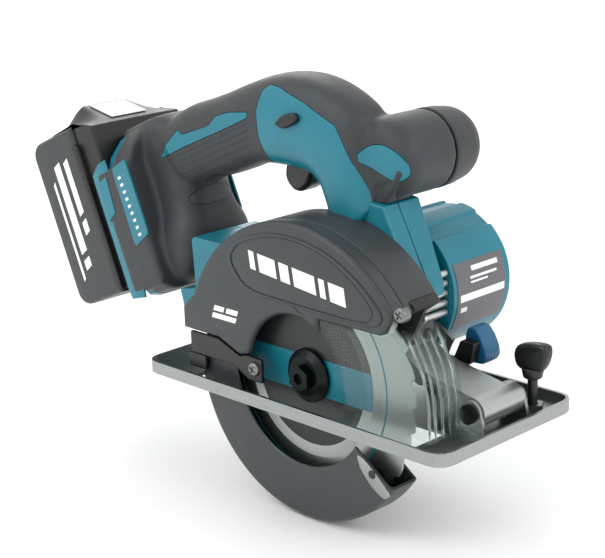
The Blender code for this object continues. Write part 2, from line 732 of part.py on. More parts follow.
def fan():
    hub = ROTOR_SHAFT_RADIUS + JOINT_GAP
    root, reach, half = hub + 3.7 * MM, FAN_RADIUS - 7 * MM, 0.8 * MM
    made = ring("fan", MOTOR_AXIS, FAN_RADIUS, hub, (FAN_Y[0], FAN_Y[0] + 1.5 * MM), 24)
    for i in range(FAN_BLADES):
        turn = Matrix.Rotation(2 * math.pi * i / FAN_BLADES, 2)
        corners = ((root, -half), (reach, -half), (reach, half), (root, half))
        outline = [tuple(MOTOR_AXIS + turn @ Vector(c)) for c in corners]
        made = join(made, slab("vane", outline, (FAN_Y[0] + 0.5 * MM, FAN_Y[1])))
    return shown(made, material("charcoal plastic", CHARCOAL, 0.5))


LABEL_Y = (23 * MM, 66 * MM)
LABEL_HEIGHT = 28 * MM


def motor_label():
    x = MOTOR_AXIS.x + MOTOR_RADIUS + JOINT_GAP
    middle = MOTOR_AXIS.y - 5 * MM
    low = (x, LABEL_Y[0], middle - LABEL_HEIGHT / 2)
    plate_made = block("motor_label", low, (x + 1.2 * MM, LABEL_Y[1], middle + LABEL_HEIGHT / 2))
    return shown(plate_made, material("label grey", CHARCOAL, 0.5))


# ---------------------------------------------------------------- guards


def sector(name, inner, outer, start, end, y_range, steps=20):
    outline = arc(AXIS, outer, start, end, steps) + arc(AXIS, inner, end, start, steps)
    return slab(name, outline, y_range)


def lower_guard():
    """A moving guard: a near wall, a rim and a far wall that turns on the bearing retainer."""
    start, end = GUARD_FRONT_DEG, GUARD_REAR_DEG
    hub = GUARD_HUB_RADIUS + 8 * MM
    outline = arc(AXIS, GUARD_RADIUS, start, end, 20) + arc(AXIS, hub, end, start - 360, 16)
    guard = slab("lower_guard", outline, (GUARD_NEAR_Y, GUARD_FAR_Y))
    inside = (GUARD_NEAR_Y + GUARD_WALL, GUARD_FAR_Y - GUARD_WALL)
    hollow = drum("hollow", AXIS, GUARD_RADIUS - GUARD_WALL, inside, 48)
    opening = drum("opening", AXIS, GUARD_WINDOW_RADIUS, (GUARD_NEAR_Y - CUT_EXTRA, inside[1] - 1 * MM), 40)
    bore = drum("bore", AXIS, GUARD_HUB_RADIUS, (GUARD_NEAR_Y, GUARD_FAR_Y + CUT_EXTRA), 32)
    return shown(cut(guard, hollow, opening, bore), material("charcoal coated metal", CHARCOAL, 0.4, 0.4))


MARKER_DEG = (-39, -49)


def guard_marker():
    """The pale plate on the guard's front end."""
    y_range = (GUARD_NEAR_Y - JOINT_GAP - 0.8 * MM, GUARD_NEAR_Y - JOINT_GAP)
    made = sector("guard_marker", 56 * MM, GUARD_RADIUS - 3 * MM, *MARKER_DEG, y_range, 3)
    return shown(made, material("white plate", WHITE, 0.4))


def guard_spring():
    y_range = (GUARD_FAR_Y + JOINT_GAP, CASE_BACK_Y - JOINT_GAP)
    made = ring("guard_spring", AXIS, RETAINER_RADIUS + 3.4 * MM, RETAINER_RADIUS + JOINT_GAP, y_range, 24)
    return shown(made, material("spring steel", STEEL, 0.35, 1.0))


def case_sector(radius):
    """The case's outline from its front tip over the top to its rear edge, at the given outer radius."""
    drop = CASE_RADIUS - radius
    points = arc(AXIS, radius, CASE_FRONT_DEG, CASE_REAR_DEG, 20)
    rear = CASE_REAR_X + drop
    return points + [(rear, AXIS_Z + 26 * MM), (rear, AXIS_Z + 11 * MM)]


def case_bottom(rise=0.0):
    """The cover's lower edge, from the rear forward: a low step, the arch over the hub, then the front edge."""
    rear = from_axis((-60, 11), (-43, 4.5), (-36, 6.5))
    arch = arc(AXIS, 36 * MM, 166, 60, 8)
    front = from_axis((17.7, 37.5), (61.2, 37.8), (65, 39.5))
    return moved(rear + arch + front, 0, rise)


def blade_cover():
    """The near half of the blade case: the flat cover and its rim."""
    outline = case_sector(CASE_RADIUS) + case_bottom()
    y_face = (COVER_NEAR_Y, COVER_NEAR_Y + COVER_THICKNESS)
    face = slab("blade_cover", outline, y_face)
    rim_inner = case_sector(CASE_RADIUS - CASE_WALL)
    rim_outline = case_sector(CASE_RADIUS) + rim_inner[::-1]
    rim = slab("rim", rim_outline, (COVER_NEAR_Y + 1 * MM, BLADE_Y - 2 * MM))
    panel = arc(AXIS, 79 * MM, 62, 118, 8)
    panel += from_axis((-47, 67), (-53, 59), (-39, 44), (5, 42.5), (60, 42), (65, 49), (49, 63.5))
    raised = slab("panel", panel, (COVER_NEAR_Y - 0.8 * MM, COVER_NEAR_Y + 0.5 * MM))
    return shown(join(face, rim, raised), material("charcoal plastic", CHARCOAL, 0.5))


BACK_FLOOR_Z = SOLE_SHEET + 1.2 * MM


def blade_case():
    """The far half: a rim over the blade and a back plate that bolts to the gear housing."""
    rim_inner = case_sector(CASE_RADIUS - CASE_WALL)
    rim_outline = case_sector(CASE_RADIUS) + rim_inner[::-1]
    case = slab("blade_case", rim_outline, (BLADE_Y - 2 * MM + JOINT_GAP, CASE_FAR_Y))
    low = from_axis((-60, 5), (-22, -12))
    low += [(-12 * MM, BACK_FLOOR_Z), (12 * MM, BACK_FLOOR_Z)] + from_axis((24, -8), (60, 30))
    back = case_sector(CASE_RADIUS - CASE_WALL + 0.8 * MM) + low
    back_y = (CASE_BACK_Y, CASE_BACK_Y + CASE_BACK_THICKNESS)
    hole = circle(AXIS, SEAT_RADIUS, 24)
    return shown(join(case, slab("back", back, back_y, [hole])), material("charcoal plastic", CHARCOAL, 0.5))


def case_bracket():
    """The dark bracket under the cover, which holds it to the gear housing."""
    points = from_axis(
        (-83, 10.6),
        (-60.2, 10.6),
        (-43.2, 4.1),
        (-36.6, 5.9),
        (-25.5, 5.5),
        (-25.5, -8),
        (-36, -8),
        (-47, -2),
        (-83, -2),
    )
    face = slab("case_bracket", points, (COVER_NEAR_Y, COVER_NEAR_Y + 2.5 * MM))
    return shown(face, material("black plastic", BLACK, 0.45))


def bracket_screw():
    centre = from_axis((-30.5, -0.5))[0]
    made = drum("bracket_screw", centre, 4 * MM, (COVER_NEAR_Y - 2 * MM, COVER_NEAR_Y - JOINT_GAP), 16)
    return shown(made, material("bright steel", STEEL, 0.3, 1.0))


def rear_tab():
    """A stop below the bracket's rear end, against the sole's rim."""
    low = (CASE_REAR_X + 4 * MM, COVER_NEAR_Y, AXIS_Z - 10.5 * MM)
    high = (CASE_REAR_X + 18 * MM, COVER_NEAR_Y + 2.7 * MM, AXIS_Z - 2.3 * MM)
    return shown(block("rear_tab", low, high), material("black plastic", BLACK, 0.45))


WINDOW_WALL = 2 * MM
WINDOW_FAR_Y = BLADE_Y + 18 * MM
WINDOW_FOOT_Z = SOLE_SHEET + 1.5 * MM


def clear_window():
    """The clear shield below the cover's front: a flat side and a band curving round the front."""
    front = from_axis((70.6, 41.5), (76, 40), (80.5, 32.3), (86.7, 20.7), (89.8, 5.7))
    front.append((90.7 * MM, WINDOW_FOOT_Z))
    hub = arc(AXIS, 36 * MM, -20, 57, 8)
    edge = from_axis((17.9, 36.6), (61.4, 36.9), (65.6, 38.6))
    low = [(34 * MM, WINDOW_FOOT_Z)]
    side_y = (COVER_NEAR_Y + 0.2 * MM, COVER_NEAR_Y + 0.2 * MM + WINDOW_WALL)
    side = slab("clear_window", low + hub + edge + front, side_y)
    inner = [(x - WINDOW_WALL, z - 0.4 * WINDOW_WALL) for x, z in front[:-1]]
    inner.append((front[-1][0] - WINDOW_WALL, WINDOW_FOOT_Z))
    band = slab("band", front + inner[::-1], (side_y[0], WINDOW_FAR_Y))
    foot_low = (88 * MM, WINDOW_FAR_Y - 12 * MM, WINDOW_FOOT_Z)
    foot = block("foot", foot_low, (95 * MM, WINDOW_FAR_Y, WINDOW_FOOT_Z + 2 * MM))
    return shown(join(side, band, foot), material("clear plastic", CLEAR, 0.08))


def window_screw():
    centre = from_axis((76, 52))[0]
    made = drum("window_screw", centre, 4 * MM, (COVER_NEAR_Y - 1 * MM, COVER_NEAR_Y + 22 * MM), 16)
    return shown(made, material("bright steel", STEEL, 0.3, 1.0))


# ---------------------------------------------------------------- body, handle and grips


HANDLE_TOP = (
    (-138, 139.5),
    (-121.6, 147.4),
    (-95.2, 156.5),
    (-70, 165.8),
    (-44.4, 173.3),
    (-23, 173.6),
    (-1.1, 168.3),
    (14, 160),
)
LOOP_TOP = ((-93, 106.5), (-78, 114.5), (-61.7, 121), (-16, 121), (-12.5, 119), (-6, 106), (-4, 97))
LOOP_FLOOR = ((-12, 93), (-40, 90.5), (-66, 89), (-78, 92))
RUBBER = 2.5 * MM
SKIN_Y = 19.5 * MM


def in_mm(points):
    return [(x * MM, z * MM) for x, z in points]


def loop_outline(extra=0.0):
    middle = (-50 * MM, 104 * MM)
    grown = []
    for x, z in in_mm(LOOP_TOP + LOOP_FLOOR):
        away = Vector((x - middle[0], z - middle[1]))
        away += away.normalized() * extra
        grown.append((middle[0] + away.x, middle[1] + away.y))
    return grown


MOUNT_FORWARD = (BATTERY_DEPTH + JOINT_GAP, BATTERY_DEPTH + 22 * MM)


def column_line(low, high, forward=MOUNT_FORWARD[1] + JOINT_GAP):
    return [battery_point(low, forward), battery_point(high, forward)]


def upper_outline(inset):
    """The handle, the rear column and the front leg, before the hand opening and the front grip are cut."""
    top = moved(in_mm(HANDLE_TOP), 0, -inset)
    leg = in_mm(((22, 150), (30, 134), (34, 112), (37, 101), (-88, 88), (-104, 88)))
    return column_line(20 * MM, 88 * MM) + top + leg


def lower_outline():
    """The part of the body behind the blade case, from the column to the teal front."""
    points = in_mm(
        (
            (-92, 48),
            (-60, 47),
            (-20, 52),
            (44, 60),
            (51, 63),
            (53.2, 66.7),
            (46.5, 82),
            (36, 106),
            (-96, 100),
        )
    )
    return column_line(-2 * MM, 0)[:1] + points + column_line(0, 60 * MM)[1:]


def body_half(name, side):
    """One half of the clamshell. side is -1 for the near half and 1 for the far one."""
    depth = SKIN_Y - RUBBER
    seam = JOINT_GAP / 2
    upper = slab(name, upper_outline(RUBBER + JOINT_GAP), (side * seam, side * depth))
    lower_y = abs(BODY_NEAR_Y) if side < 0 else BODY_FAR_Y
    half = join(upper, slab("lower", lower_outline(), (side * seam, side * lower_y)))
    bite = slab("bite", housing_outline(1 * MM), THROUGH_Y)
    bite_low = slab("below", in_mm(((-60, 0), (60, 0), (40, 45), (-30, 45))), THROUGH_Y)
    half = cut(half, bite, bite_low, slab("loop", loop_outline(), THROUGH_Y))
    wall = 3 * MM
    grip_y = (-CUT_EXTRA * side, side * (depth - wall))
    grip = in_mm(((-110, 138), (-92, 126), (-56, 131), (-10, 131), (-2, 140), (-10, 160), (-40, 164), (-90, 150)))
    column = in_mm(((-124, 60), (-104, 60), (-98, 90), (-106, 122), (-122, 126), (-128, 112)))
    half = cut(half, slab("grip room", grip, grip_y), slab("column room", column, grip_y))
    if side < 0:
        half = cut(half, drum("case", AXIS, CASE_RADIUS + JOINT_GAP, (-FAR_OUT, BODY_NEAR_Y), 64))
    half = cut(half, drum("grip seat", BARREL_AXIS, BARREL_RADIUS + JOINT_GAP, (BARREL_Y[0] - JOINT_GAP, FAR_OUT), 32))
    half = cut(half, drum("button hole", LOCK_AXIS, LOCK_RADIUS + RUN_GAP, THROUGH_Y, 16))
    slot = in_mm(((-48, 118), (-14, 118), (-14, 134), (-48, 134)))
    return shown(cut(half, slab("trigger room", slot, (-side * CUT_EXTRA, side * TRIGGER_ROOM))), material(
        "teal plastic", TEAL, 0.4
    ))


TRIGGER_HALF = 7.5 * MM
TRIGGER_ROOM = TRIGGER_HALF + RUN_GAP


def trigger():
    """A trigger hung at its front end. Its lower edge curves to a tip at the rear."""
    points = in_mm(
        (
            (-18.5, 130),
            (-16.5, 127),
            (-17, 113),
            (-22, 110.5),
            (-27, 111),
            (-32, 113.5),
            (-40, 117),
            (-44, 118.7),
            (-44, 128),
        )
    )
    made = rounded(slab("trigger", points, (-TRIGGER_HALF, TRIGGER_HALF)), 1.2 * MM, 1)
    return shown(made, material("black plastic", BLACK, 0.45))


LOCK_AXIS = Vector((-28 * MM, 151 * MM))
LOCK_RADIUS = 5 * MM


def lock_off_button():
    half = SKIN_Y + 3.4 * MM
    made = drum("lock_off_button", LOCK_AXIS, LOCK_RADIUS, (-half, half), 16)
    return shown(made, material("black plastic", BLACK, 0.45))


def switch_unit():
    low = (-75 * MM, -9 * MM, 133.5 * MM)
    made = block("switch_unit", low, (-36 * MM, 9 * MM, 152 * MM))
    return shown(made, material("black plastic", BLACK, 0.45))


def controller_board():
    points = in_mm(((-123, 62), (-106, 62), (-101, 90), (-108, 118), (-112, 118), (-118, 90)))
    return shown(slab("controller_board", points, (-12 * MM, 12 * MM)), material("board green", TEAL, 0.6))


def rubber_floor():
    """The lower edge of the moulded rubber's sides, from the front back to the column."""
    under = in_mm(((1, 150), (-8, 128), (-50, 123.5), (-62, 122.3), (-78, 116), (-93.5, 108), (-81, 92.5)))
    rear = in_mm(((-88, 89), (-104, 88.5), (-112, 74), (-116, 56)))
    return under + rear + column_line(18 * MM, 86 * MM)


COLUMN_HALF = 31 * MM


def column_outline():
    front = in_mm(((-130, 141), (-116, 134), (-107, 112), (-101, 84), (-103, 62), (-108, 48)))
    return column_line(2 * MM, 92 * MM) + front


def grip_rubber():
    """Soft rubber over the handle: a strip along the top and a skin down each side."""
    top = in_mm(HANDLE_TOP)
    rubber = slab("grip_rubber", top + rubber_floor(), (-SKIN_Y, SKIN_Y))
    rubber = rounded(rubber, 5 * MM, 1)
    rubber = join(rubber, rounded(slab("column", column_outline(), (-COLUMN_HALF, COLUMN_HALF)), 8 * MM, 1))
    barrel = drum("grip seat", BARREL_AXIS, BARREL_RADIUS + JOINT_GAP, (BARREL_Y[0] - JOINT_GAP, FAR_OUT), 32)
    under = moved(top, 0, -RUBBER)
    rear_x, front_x, floor_z = -200 * MM, 50 * MM, 40 * MM
    room = [(rear_x, under[0][1] - 20 * MM)] + under
    room += [(front_x, under[-1][1] - 4 * MM), (front_x, floor_z), (rear_x, floor_z)]
    inner = SKIN_Y - RUBBER + JOINT_GAP
    hole = drum("button hole", LOCK_AXIS, LOCK_RADIUS + RUN_GAP, THROUGH_Y, 16)
    rubber = cut(rubber, slab("room", room, (-inner, inner)), hole, barrel)
    return shown(rubber, material("charcoal rubber", CHARCOAL, 0.7))


def grip_inset(name, side):
    """The teal panel on one side of the grip."""
    points = in_mm(
        (
            (-38, 128),
            (-20, 135.5),
            (-12, 130.5),
            (-7, 114),
            (8, 112),
            (2, 127),
            (-4.5, 144.5),
            (-17, 159),
            (-38, 165),
            (-50, 161),
            (-54, 149.5),
            (-49, 134.5),
        )
    )
    low = SKIN_Y + JOINT_GAP
    inset = slab(name, points, (side * low, side * (low + 1.4 * MM)))
    hole = drum("button hole", LOCK_AXIS, LOCK_RADIUS + RUN_GAP, (side * low * 0.9, side * low * 1.2), 16)
    return shown(cut(inset, hole), material("teal plastic", TEAL, 0.4))


GRIP_SEAM_Y = 40 * MM


def front_grip():
    """The barrel's near part, with a rounded near end."""
    near, far = BARREL_Y[0], GRIP_SEAM_Y
    profile = [
        (0, far),
        (BARREL_RADIUS, far),
        (BARREL_RADIUS, near + 9 * MM),
        (BARREL_RADIUS - 2.5 * MM, near + 3 * MM),
        (BARREL_RADIUS - 7 * MM, near),
        (0, near),
    ]
    return shown(turned("front_grip", BARREL_AXIS, profile, 32), material("charcoal rubber", CHARCOAL, 0.7))


def front_grip_end():
    near = GRIP_SEAM_Y + JOINT_GAP
    profile = [
        (0, near),
        (BARREL_RADIUS, near),
        (BARREL_RADIUS, BARREL_Y[1] - 9 * MM),
        (BARREL_RADIUS - 3 * MM, BARREL_Y[1] - 3 * MM),
        (BARREL_RADIUS - 9 * MM, BARREL_Y[1]),
        (0, BARREL_Y[1]),
    ]
    return shown(turned("front_grip_end", BARREL_AXIS, profile, 32), material("charcoal rubber", CHARCOAL, 0.7))


# ---------------------------------------------------------------- depth lever


LEVER_Y = (GUIDE_Y[1] + RUN_GAP, GUIDE_Y[1] + 6.5 * MM)


def clamp_bolt():
    """A bolt through the depth guide's slot, fixed to the front arm's boss at its near end."""
    far = LEVER_Y[1] + JOINT_GAP
    made = drum("clamp_bolt", CLAMP_AXIS, CLAMP_RADIUS, (GEAR_FAR_Y + JOINT_GAP, far + 1 * MM), 16)
    head = drum("head", CLAMP_AXIS, 5.5 * MM, (far, far + 3 * MM), 6)
    return shown(join(made, head), material("zinc steel", STEEL, 0.4, 0.9))


def depth_lever():
    x, z = CLAMP_AXIS
    outline = arc(CLAMP_AXIS, 7 * MM, 110, 290, 10)
    outline += [(x + 15 * MM, z + 3 * MM), (x + 24 * MM, z + 9 * MM)]
    outline += [(x + 26 * MM, z + 20 * MM), (x + 17 * MM, z + 20 * MM), (x + 12 * MM, z + 9 * MM)]
    lever = slab("depth_lever", outline, LEVER_Y, [circle(CLAMP_AXIS, CLAMP_RADIUS + JOINT_GAP, 16)])
    return shown(lever, material("black plastic", BLACK, 0.45))


def lever_pad():
    """The ribbed thumb pad on the lever's end."""
    low, high = LEVER_Y[1] + JOINT_GAP, LEVER_Y[1] + 13 * MM
    points = in_mm(((57, 27), (62, 22.5), (70, 23), (73.5, 28), (71, 37), (66, 43), (59, 43), (57, 38)))
    made = rounded(slab("lever_pad", points, (low, high)), 1.2 * MM, 1)
    return shown(made, material("teal pad", TEAL, 0.45))


# ---------------------------------------------------------------- battery and its mount


def battery_mount():
    """The wide block that the battery slides on, with a channel for the terminals."""
    near, far = MOUNT_FORWARD
    points = [
        battery_point(-9 * MM, near),
        battery_point(-9 * MM, far - 6 * MM),
        battery_point(-3 * MM, far),
        battery_point(88 * MM, far),
        battery_point(96 * MM, far - 6 * MM),
        battery_point(97 * MM, near),
    ]
    mount = rounded(slab("battery_mount", points, (-MOUNT_HALF, MOUNT_HALF)), 2.5 * MM, 1)
    return shown(mount, material("teal plastic", TEAL, 0.4))


def battery_case():
    """The battery's main shell: the wide rear part."""
    top = BATTERY_LENGTH - BATTERY_HUMP
    points = [
        battery_point(6 * MM, BATTERY_BACK),
        battery_point(0, BATTERY_BACK + 6 * MM),
        battery_point(0, BATTERY_SHELL),
        battery_point(top, BATTERY_SHELL),
        battery_point(top, BATTERY_BACK + 7 * MM),
        battery_point(top - 7 * MM, BATTERY_BACK),
    ]
    half = BATTERY_WIDTH / 2
    case = rounded(slab("battery_case", points, (-half, half)), 2.5 * MM, 2)
    return shown(case, material("battery charcoal", CHARCOAL, 0.5))


def battery_top():
    """The battery's front part, with the sliding rails, and the hump that carries the label and button."""
    near, far = BATTERY_SHELL + JOINT_GAP, BATTERY_DEPTH
    top = BATTERY_LENGTH - BATTERY_HUMP + JOINT_GAP
    front = BATTERY_LENGTH - HUMP_FALL
    points = [
        battery_point(2 * MM, near),
        battery_point(2 * MM, far),
        battery_point(front, far),
        battery_point(top, near + 6 * MM),
        battery_point(top, near),
    ]
    half = BATTERY_WIDTH / 2 - 2.5 * MM
    rails = slab("battery_top", points, (-half, half))
    hump = [
        battery_point(top, 20 * MM),
        battery_point(BATTERY_LENGTH - 5 * MM, 24 * MM),
        battery_point(BATTERY_LENGTH, HUMP_RIDGE),
        battery_point(front, far),
        battery_point(front - 5 * MM, far),
        battery_point(front - 5 * MM, near),
        battery_point(top, near),
    ]
    block_made = join(rails, slab("hump", hump, (-HUMP_HALF, HUMP_HALF)))
    room = RUN_GAP / 2
    pocket = button_outline(-BUTTON_TRAVEL - room, CUT_EXTRA, room)
    pocket_made = slab("pocket", pocket, (-BUTTON_HALF - room, BUTTON_HALF + room))
    return shown(cut(block_made, pocket_made), material("battery charcoal", CHARCOAL, 0.5))


BUTTON_HALF = 12 * MM
BUTTON_TRAVEL = 2.5 * MM
BUTTON_FORWARD = (26 * MM, 31.5 * MM)


def button_outline(drop=0.0, rise=0.0, room=0.0):
    low = BATTERY_LENGTH - BATTERY_HUMP + 1.5 * MM + BUTTON_TRAVEL + drop
    high = BATTERY_LENGTH - 1.5 * MM + rise
    near, far = BUTTON_FORWARD[0] - room, BUTTON_FORWARD[1] + room
    return [battery_point(low, near), battery_point(low, far), battery_point(high, far), battery_point(high, near)]


def battery_button():
    """The release button, behind the ridge of the battery's hump."""
    made = slab("battery_button", button_outline(), (-BUTTON_HALF, BUTTON_HALF))
    return shown(made, material("battery charcoal", CHARCOAL, 0.45))


def battery_label():
    """The pale label on the hump's front slope, a little above its surface."""
    start = Vector(battery_point(BATTERY_LENGTH, HUMP_RIDGE))
    end = Vector(battery_point(BATTERY_LENGTH - HUMP_FALL, BATTERY_DEPTH))
    across = (end - start).normalized()
    out = Vector((-across.y, across.x))
    a, b = start + across * 3 * MM + out * JOINT_GAP, start + across * 25 * MM + out * JOINT_GAP
    points = [tuple(a), tuple(b), tuple(b + out * 0.5 * MM), tuple(a + out * 0.5 * MM)]
    made = slab("battery_label", points, (-LABEL_HALF, LABEL_HALF))
    return shown(made, material("white label", WHITE, 0.5))


LABEL_HALF = 13.5 * MM


def arm_screw(name, y):
    """A screw through the front arm's pad into the gear housing, along X."""
    rear = HOUSING_FRONT_X + ARM_PAD_THICKNESS + 2 * JOINT_GAP
    bm = bmesh.new()
    place = Matrix.Translation((rear + 1.5 * MM, y, ARM_REAR_Z + 7 * MM)) @ Matrix.Rotation(math.pi / 2, 4, "Y")
    bmesh.ops.create_cone(
        bm, cap_ends=True, segments=12, radius1=3 * MM, radius2=3 * MM, depth=3 * MM, matrix=place
    )
    return shown(from_bmesh(name, bm), material("bright steel", STEEL, 0.3, 1.0))


# ---------------------------------------------------------------- the whole saw


def bearings():
    bearing("spindle_bearing", AXIS, SEAT_RADIUS, SPINDLE_RADIUS, SPINDLE_BEARING_Y)
    front_y = (GEAR_FAR_Y - COVER_PLATE, GEAR_FAR_Y - COVER_PLATE + BEARING_WIDTH)
    bearing("motor_bearing_front", MOTOR_AXIS, BEARING_RADIUS + JOINT_GAP, ROTOR_SHAFT_RADIUS, front_y)
    rear_y = (FAN_Y[1] + 1 * MM, FAN_Y[1] + 1 * MM + BEARING_WIDTH)
    bearing("motor_bearing_rear", MOTOR_AXIS, BEARING_RADIUS, ROTOR_SHAFT_RADIUS, rear_y)


def main():
    sole_plate()
    hinge_pin()
    depth_guide()
    clamp_nut()
    wing_screw()
    gear_housing()
    gear_cover()
    front_arm()
    arm_screw("arm_screw_near", -6 * MM)
    arm_screw("arm_screw_far", 8 * MM)
    cooling_fins()
    motor_mount()
    bearing_retainer()
    bearings()
    spindle()
    spindle_gear()
    idler_shaft()
    idler_gear()
    inner_flange()
    saw_blade()
    outer_flange()
    blade_bolt()
    motor_housing()
    motor_end_cap()
    stator()
    rotor_core()
    rotor_shaft()
    fan()
    motor_label()
    lower_guard()
    guard_marker()
    guard_spring()
    blade_cover()
    blade_case()
    case_bracket()
    bracket_screw()
    rear_tab()
    clear_window()
    window_screw()
    body_half("body_near", -1)
    body_half("body_far", 1)
    grip_rubber()
    grip_inset("grip_inset_near", -1)
    grip_inset("grip_inset_far", 1)
    trigger()
    lock_off_button()
    switch_unit()
    controller_board()
    front_grip()
    front_grip_end()
    clamp_bolt()
    depth_lever()
    lever_pad()
    battery_mount()
    battery_case()
    battery_top()
    battery_label()
    battery_button()


clear_scene()
PARTS = collection("circular_saw")
main()
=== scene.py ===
import json
import math

import bmesh
import bpy
from bpy.props import FloatProperty, PointerProperty, StringProperty
from mathutils import Matrix, Vector
from mathutils.bvhtree import BVHTree


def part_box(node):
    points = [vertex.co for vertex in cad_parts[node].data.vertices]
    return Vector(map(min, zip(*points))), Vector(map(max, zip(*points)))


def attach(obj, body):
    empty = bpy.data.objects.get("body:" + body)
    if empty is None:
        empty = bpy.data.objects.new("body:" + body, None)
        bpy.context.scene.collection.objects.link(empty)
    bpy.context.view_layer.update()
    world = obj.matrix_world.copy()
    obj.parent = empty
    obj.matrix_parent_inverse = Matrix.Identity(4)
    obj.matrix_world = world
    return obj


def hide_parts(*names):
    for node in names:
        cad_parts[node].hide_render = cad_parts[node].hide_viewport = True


bl_info = {
    "name": "Cordless circular saw",
    "version": (1, 0, 0),
    "blender": (4, 5, 0),
    "location": "View3D > Sidebar > Saw",
    "description": "Builds the visible surfaces of a cordless metal-cutting circular saw round its CAD frame",
    "category": "Object",
}

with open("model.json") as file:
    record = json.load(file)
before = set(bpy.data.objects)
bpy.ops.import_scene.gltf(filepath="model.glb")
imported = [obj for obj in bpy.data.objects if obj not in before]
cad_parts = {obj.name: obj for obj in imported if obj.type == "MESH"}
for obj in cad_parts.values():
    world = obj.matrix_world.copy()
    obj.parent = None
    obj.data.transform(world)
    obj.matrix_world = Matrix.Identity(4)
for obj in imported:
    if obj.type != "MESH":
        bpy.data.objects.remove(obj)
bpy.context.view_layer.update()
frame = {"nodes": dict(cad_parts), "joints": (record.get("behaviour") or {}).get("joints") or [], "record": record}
BODIES = frame["record"]["behaviour"]["bodies"]
BODY_OF = {node: body for body, nodes in BODIES.items() for node in nodes}

MM = 0.001
MERGE = 0.02 * MM
GROOVE = 0.35 * MM
REACH = 90 * MM
SMOOTH_DEG = 32


# ---------------------------------------------------------------- places taken from the frame


def middle(node):
    low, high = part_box(node)
    return (low + high) / 2


def joint_point(name):
    return Vector(next(j["pos_m"] for j in frame["joints"] if j["name"] == name))


def centre_line(node):
    """Where the line along Y through a node's middle meets XZ."""
    return (middle(node).x, middle(node).z)


BLADE_AXIS = joint_point("blade_spin")
BLADE_CENTRE = (BLADE_AXIS.x, BLADE_AXIS.z)
BLADE_RADIUS = (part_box("saw_blade")[1].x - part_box("saw_blade")[0].x) / 2
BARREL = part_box("front_grip")
BARREL_CENTRE = centre_line("front_grip")
BARREL_RADIUS = (BARREL[1].z - BARREL[0].z) / 2
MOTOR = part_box("motor_housing")
MOTOR_CENTRE = centre_line("motor_housing")
MOTOR_RADIUS = (MOTOR[1].z - MOTOR[0].z) / 2


# ---------------------------------------------------------------- sizes and colours a user would change


def colour_property(name, value, description):
    return StringProperty(name=name, description=description, default=value)


class SawColours(bpy.types.PropertyGroup):
    """Paint and plastic colours, as sRGB hex."""

    teal: colour_property("Teal", "#0A7385", "Moulded body and motor housing")
    overmould: colour_property("Overmould", "#2C2F31", "Soft rubber of the handle and front grip")
    charcoal: colour_property("Charcoal", "#323638", "Glass-filled plastic of the blade case and battery")
    gloss_black: colour_property("Gloss black", "#0F1011", "Battery's glossy front")
    plate: colour_property("Sole", "#9EA1A0", "Pressed steel of the sole")
    blade: colour_property("Blade", "#B4B8B8", "Ground steel of the blade")
    pad: colour_property("Lever pad", "#0A5A80", "Depth lever's thumb pad")
    ink: colour_property("White print", "#F2F4F3", "Printed bars and labels")


class SawSizes(bpy.types.PropertyGroup):
    """Sizes of what is added to the frame."""

    edge: FloatProperty(name="Moulded edge", description="Radius on moulded edges",
                        default=0.8 * MM, subtype="DISTANCE", unit="LENGTH")
    metal_edge: FloatProperty(name="Metal edge", description="Radius on pressed and cast edges",
                              default=0.4 * MM, subtype="DISTANCE", unit="LENGTH")
    rib: FloatProperty(name="Grip rib", description="Width of the ribs on the handle's side pads",
                       default=0.9 * MM, subtype="DISTANCE", unit="LENGTH")
    camera_distance: FloatProperty(name="Camera distance", description="From the camera to what it looks at",
                                   default=0.8742, subtype="DISTANCE", unit="LENGTH")


# ---------------------------------------------------------------- materials


def linear(code):
    """An sRGB hex colour as a linear RGBA value."""
    channels = [int(code[i : i + 2], 16) / 255 for i in (1, 3, 5)]
    light = [c / 12.92 if c <= 0.04045 else ((c + 0.055) / 1.055) ** 2.4 for c in channels]
    return (*light, 1.0)


def scaled(colour, factor):
    return (*[min(1.0, c * factor) for c in colour[:3]], 1.0)


def add(tree, kind, settings, inputs):
    """A node of that kind with its settings. An input is a value, or another node's output to link."""
    node = tree.nodes.new(kind)
    for name, value in settings.items():
        setattr(node, name, value)
    for name, value in inputs.items():
        if isinstance(value, bpy.types.NodeSocket):
            tree.links.new(value, node.inputs[name])
        else:
            node.inputs[name].default_value = value
    return node


def new_material(name, **shader_values):
    """A material with a Principled shader, and the tree, shader and object coordinates to build on."""
    made = bpy.data.materials.new(name)
    made.use_nodes = True
    tree = made.node_tree
    shader = tree.nodes["Principled BSDF"]
    for socket, value in shader_values.items():
        shader.inputs[socket.replace("_", " ")].default_value = value
    place = add(tree, "ShaderNodeTexCoord", {}, {}).outputs["Object"]
    return made, tree, shader, place


def mottle(tree, place, grain, low, high, detail=3.0):
    """Noise of that grain size in metres, spread between two values."""
    noise = add(tree, "ShaderNodeTexNoise", {}, {"Vector": place, "Scale": 1 / grain, "Detail": detail})
    spread = add(tree, "ShaderNodeMapRange", {}, {"Value": noise.outputs["Fac"], "From Min": 0.3,
                                                  "From Max": 0.7, "To Min": low, "To Max": high})
    return spread.outputs["Result"]


def bump(tree, shader, height, strength, distance):
    made = add(tree, "ShaderNodeBump", {}, {"Height": height, "Strength": strength, "Distance": distance})
    tree.links.new(made.outputs["Normal"], shader.inputs["Normal"])


def tinted(tree, shader, colour, amount):
    """Base colour that varies between slightly darker and lighter, by a 0 to 1 amount."""
    mix = add(tree, "ShaderNodeMix", {"data_type": "RGBA"}, {"Factor": amount})
    mix.inputs["A"].default_value = scaled(colour, 0.9)
    mix.inputs["B"].default_value = scaled(colour, 1.1)
    tree.links.new(mix.outputs["Result"], shader.inputs["Base Color"])
    return mix


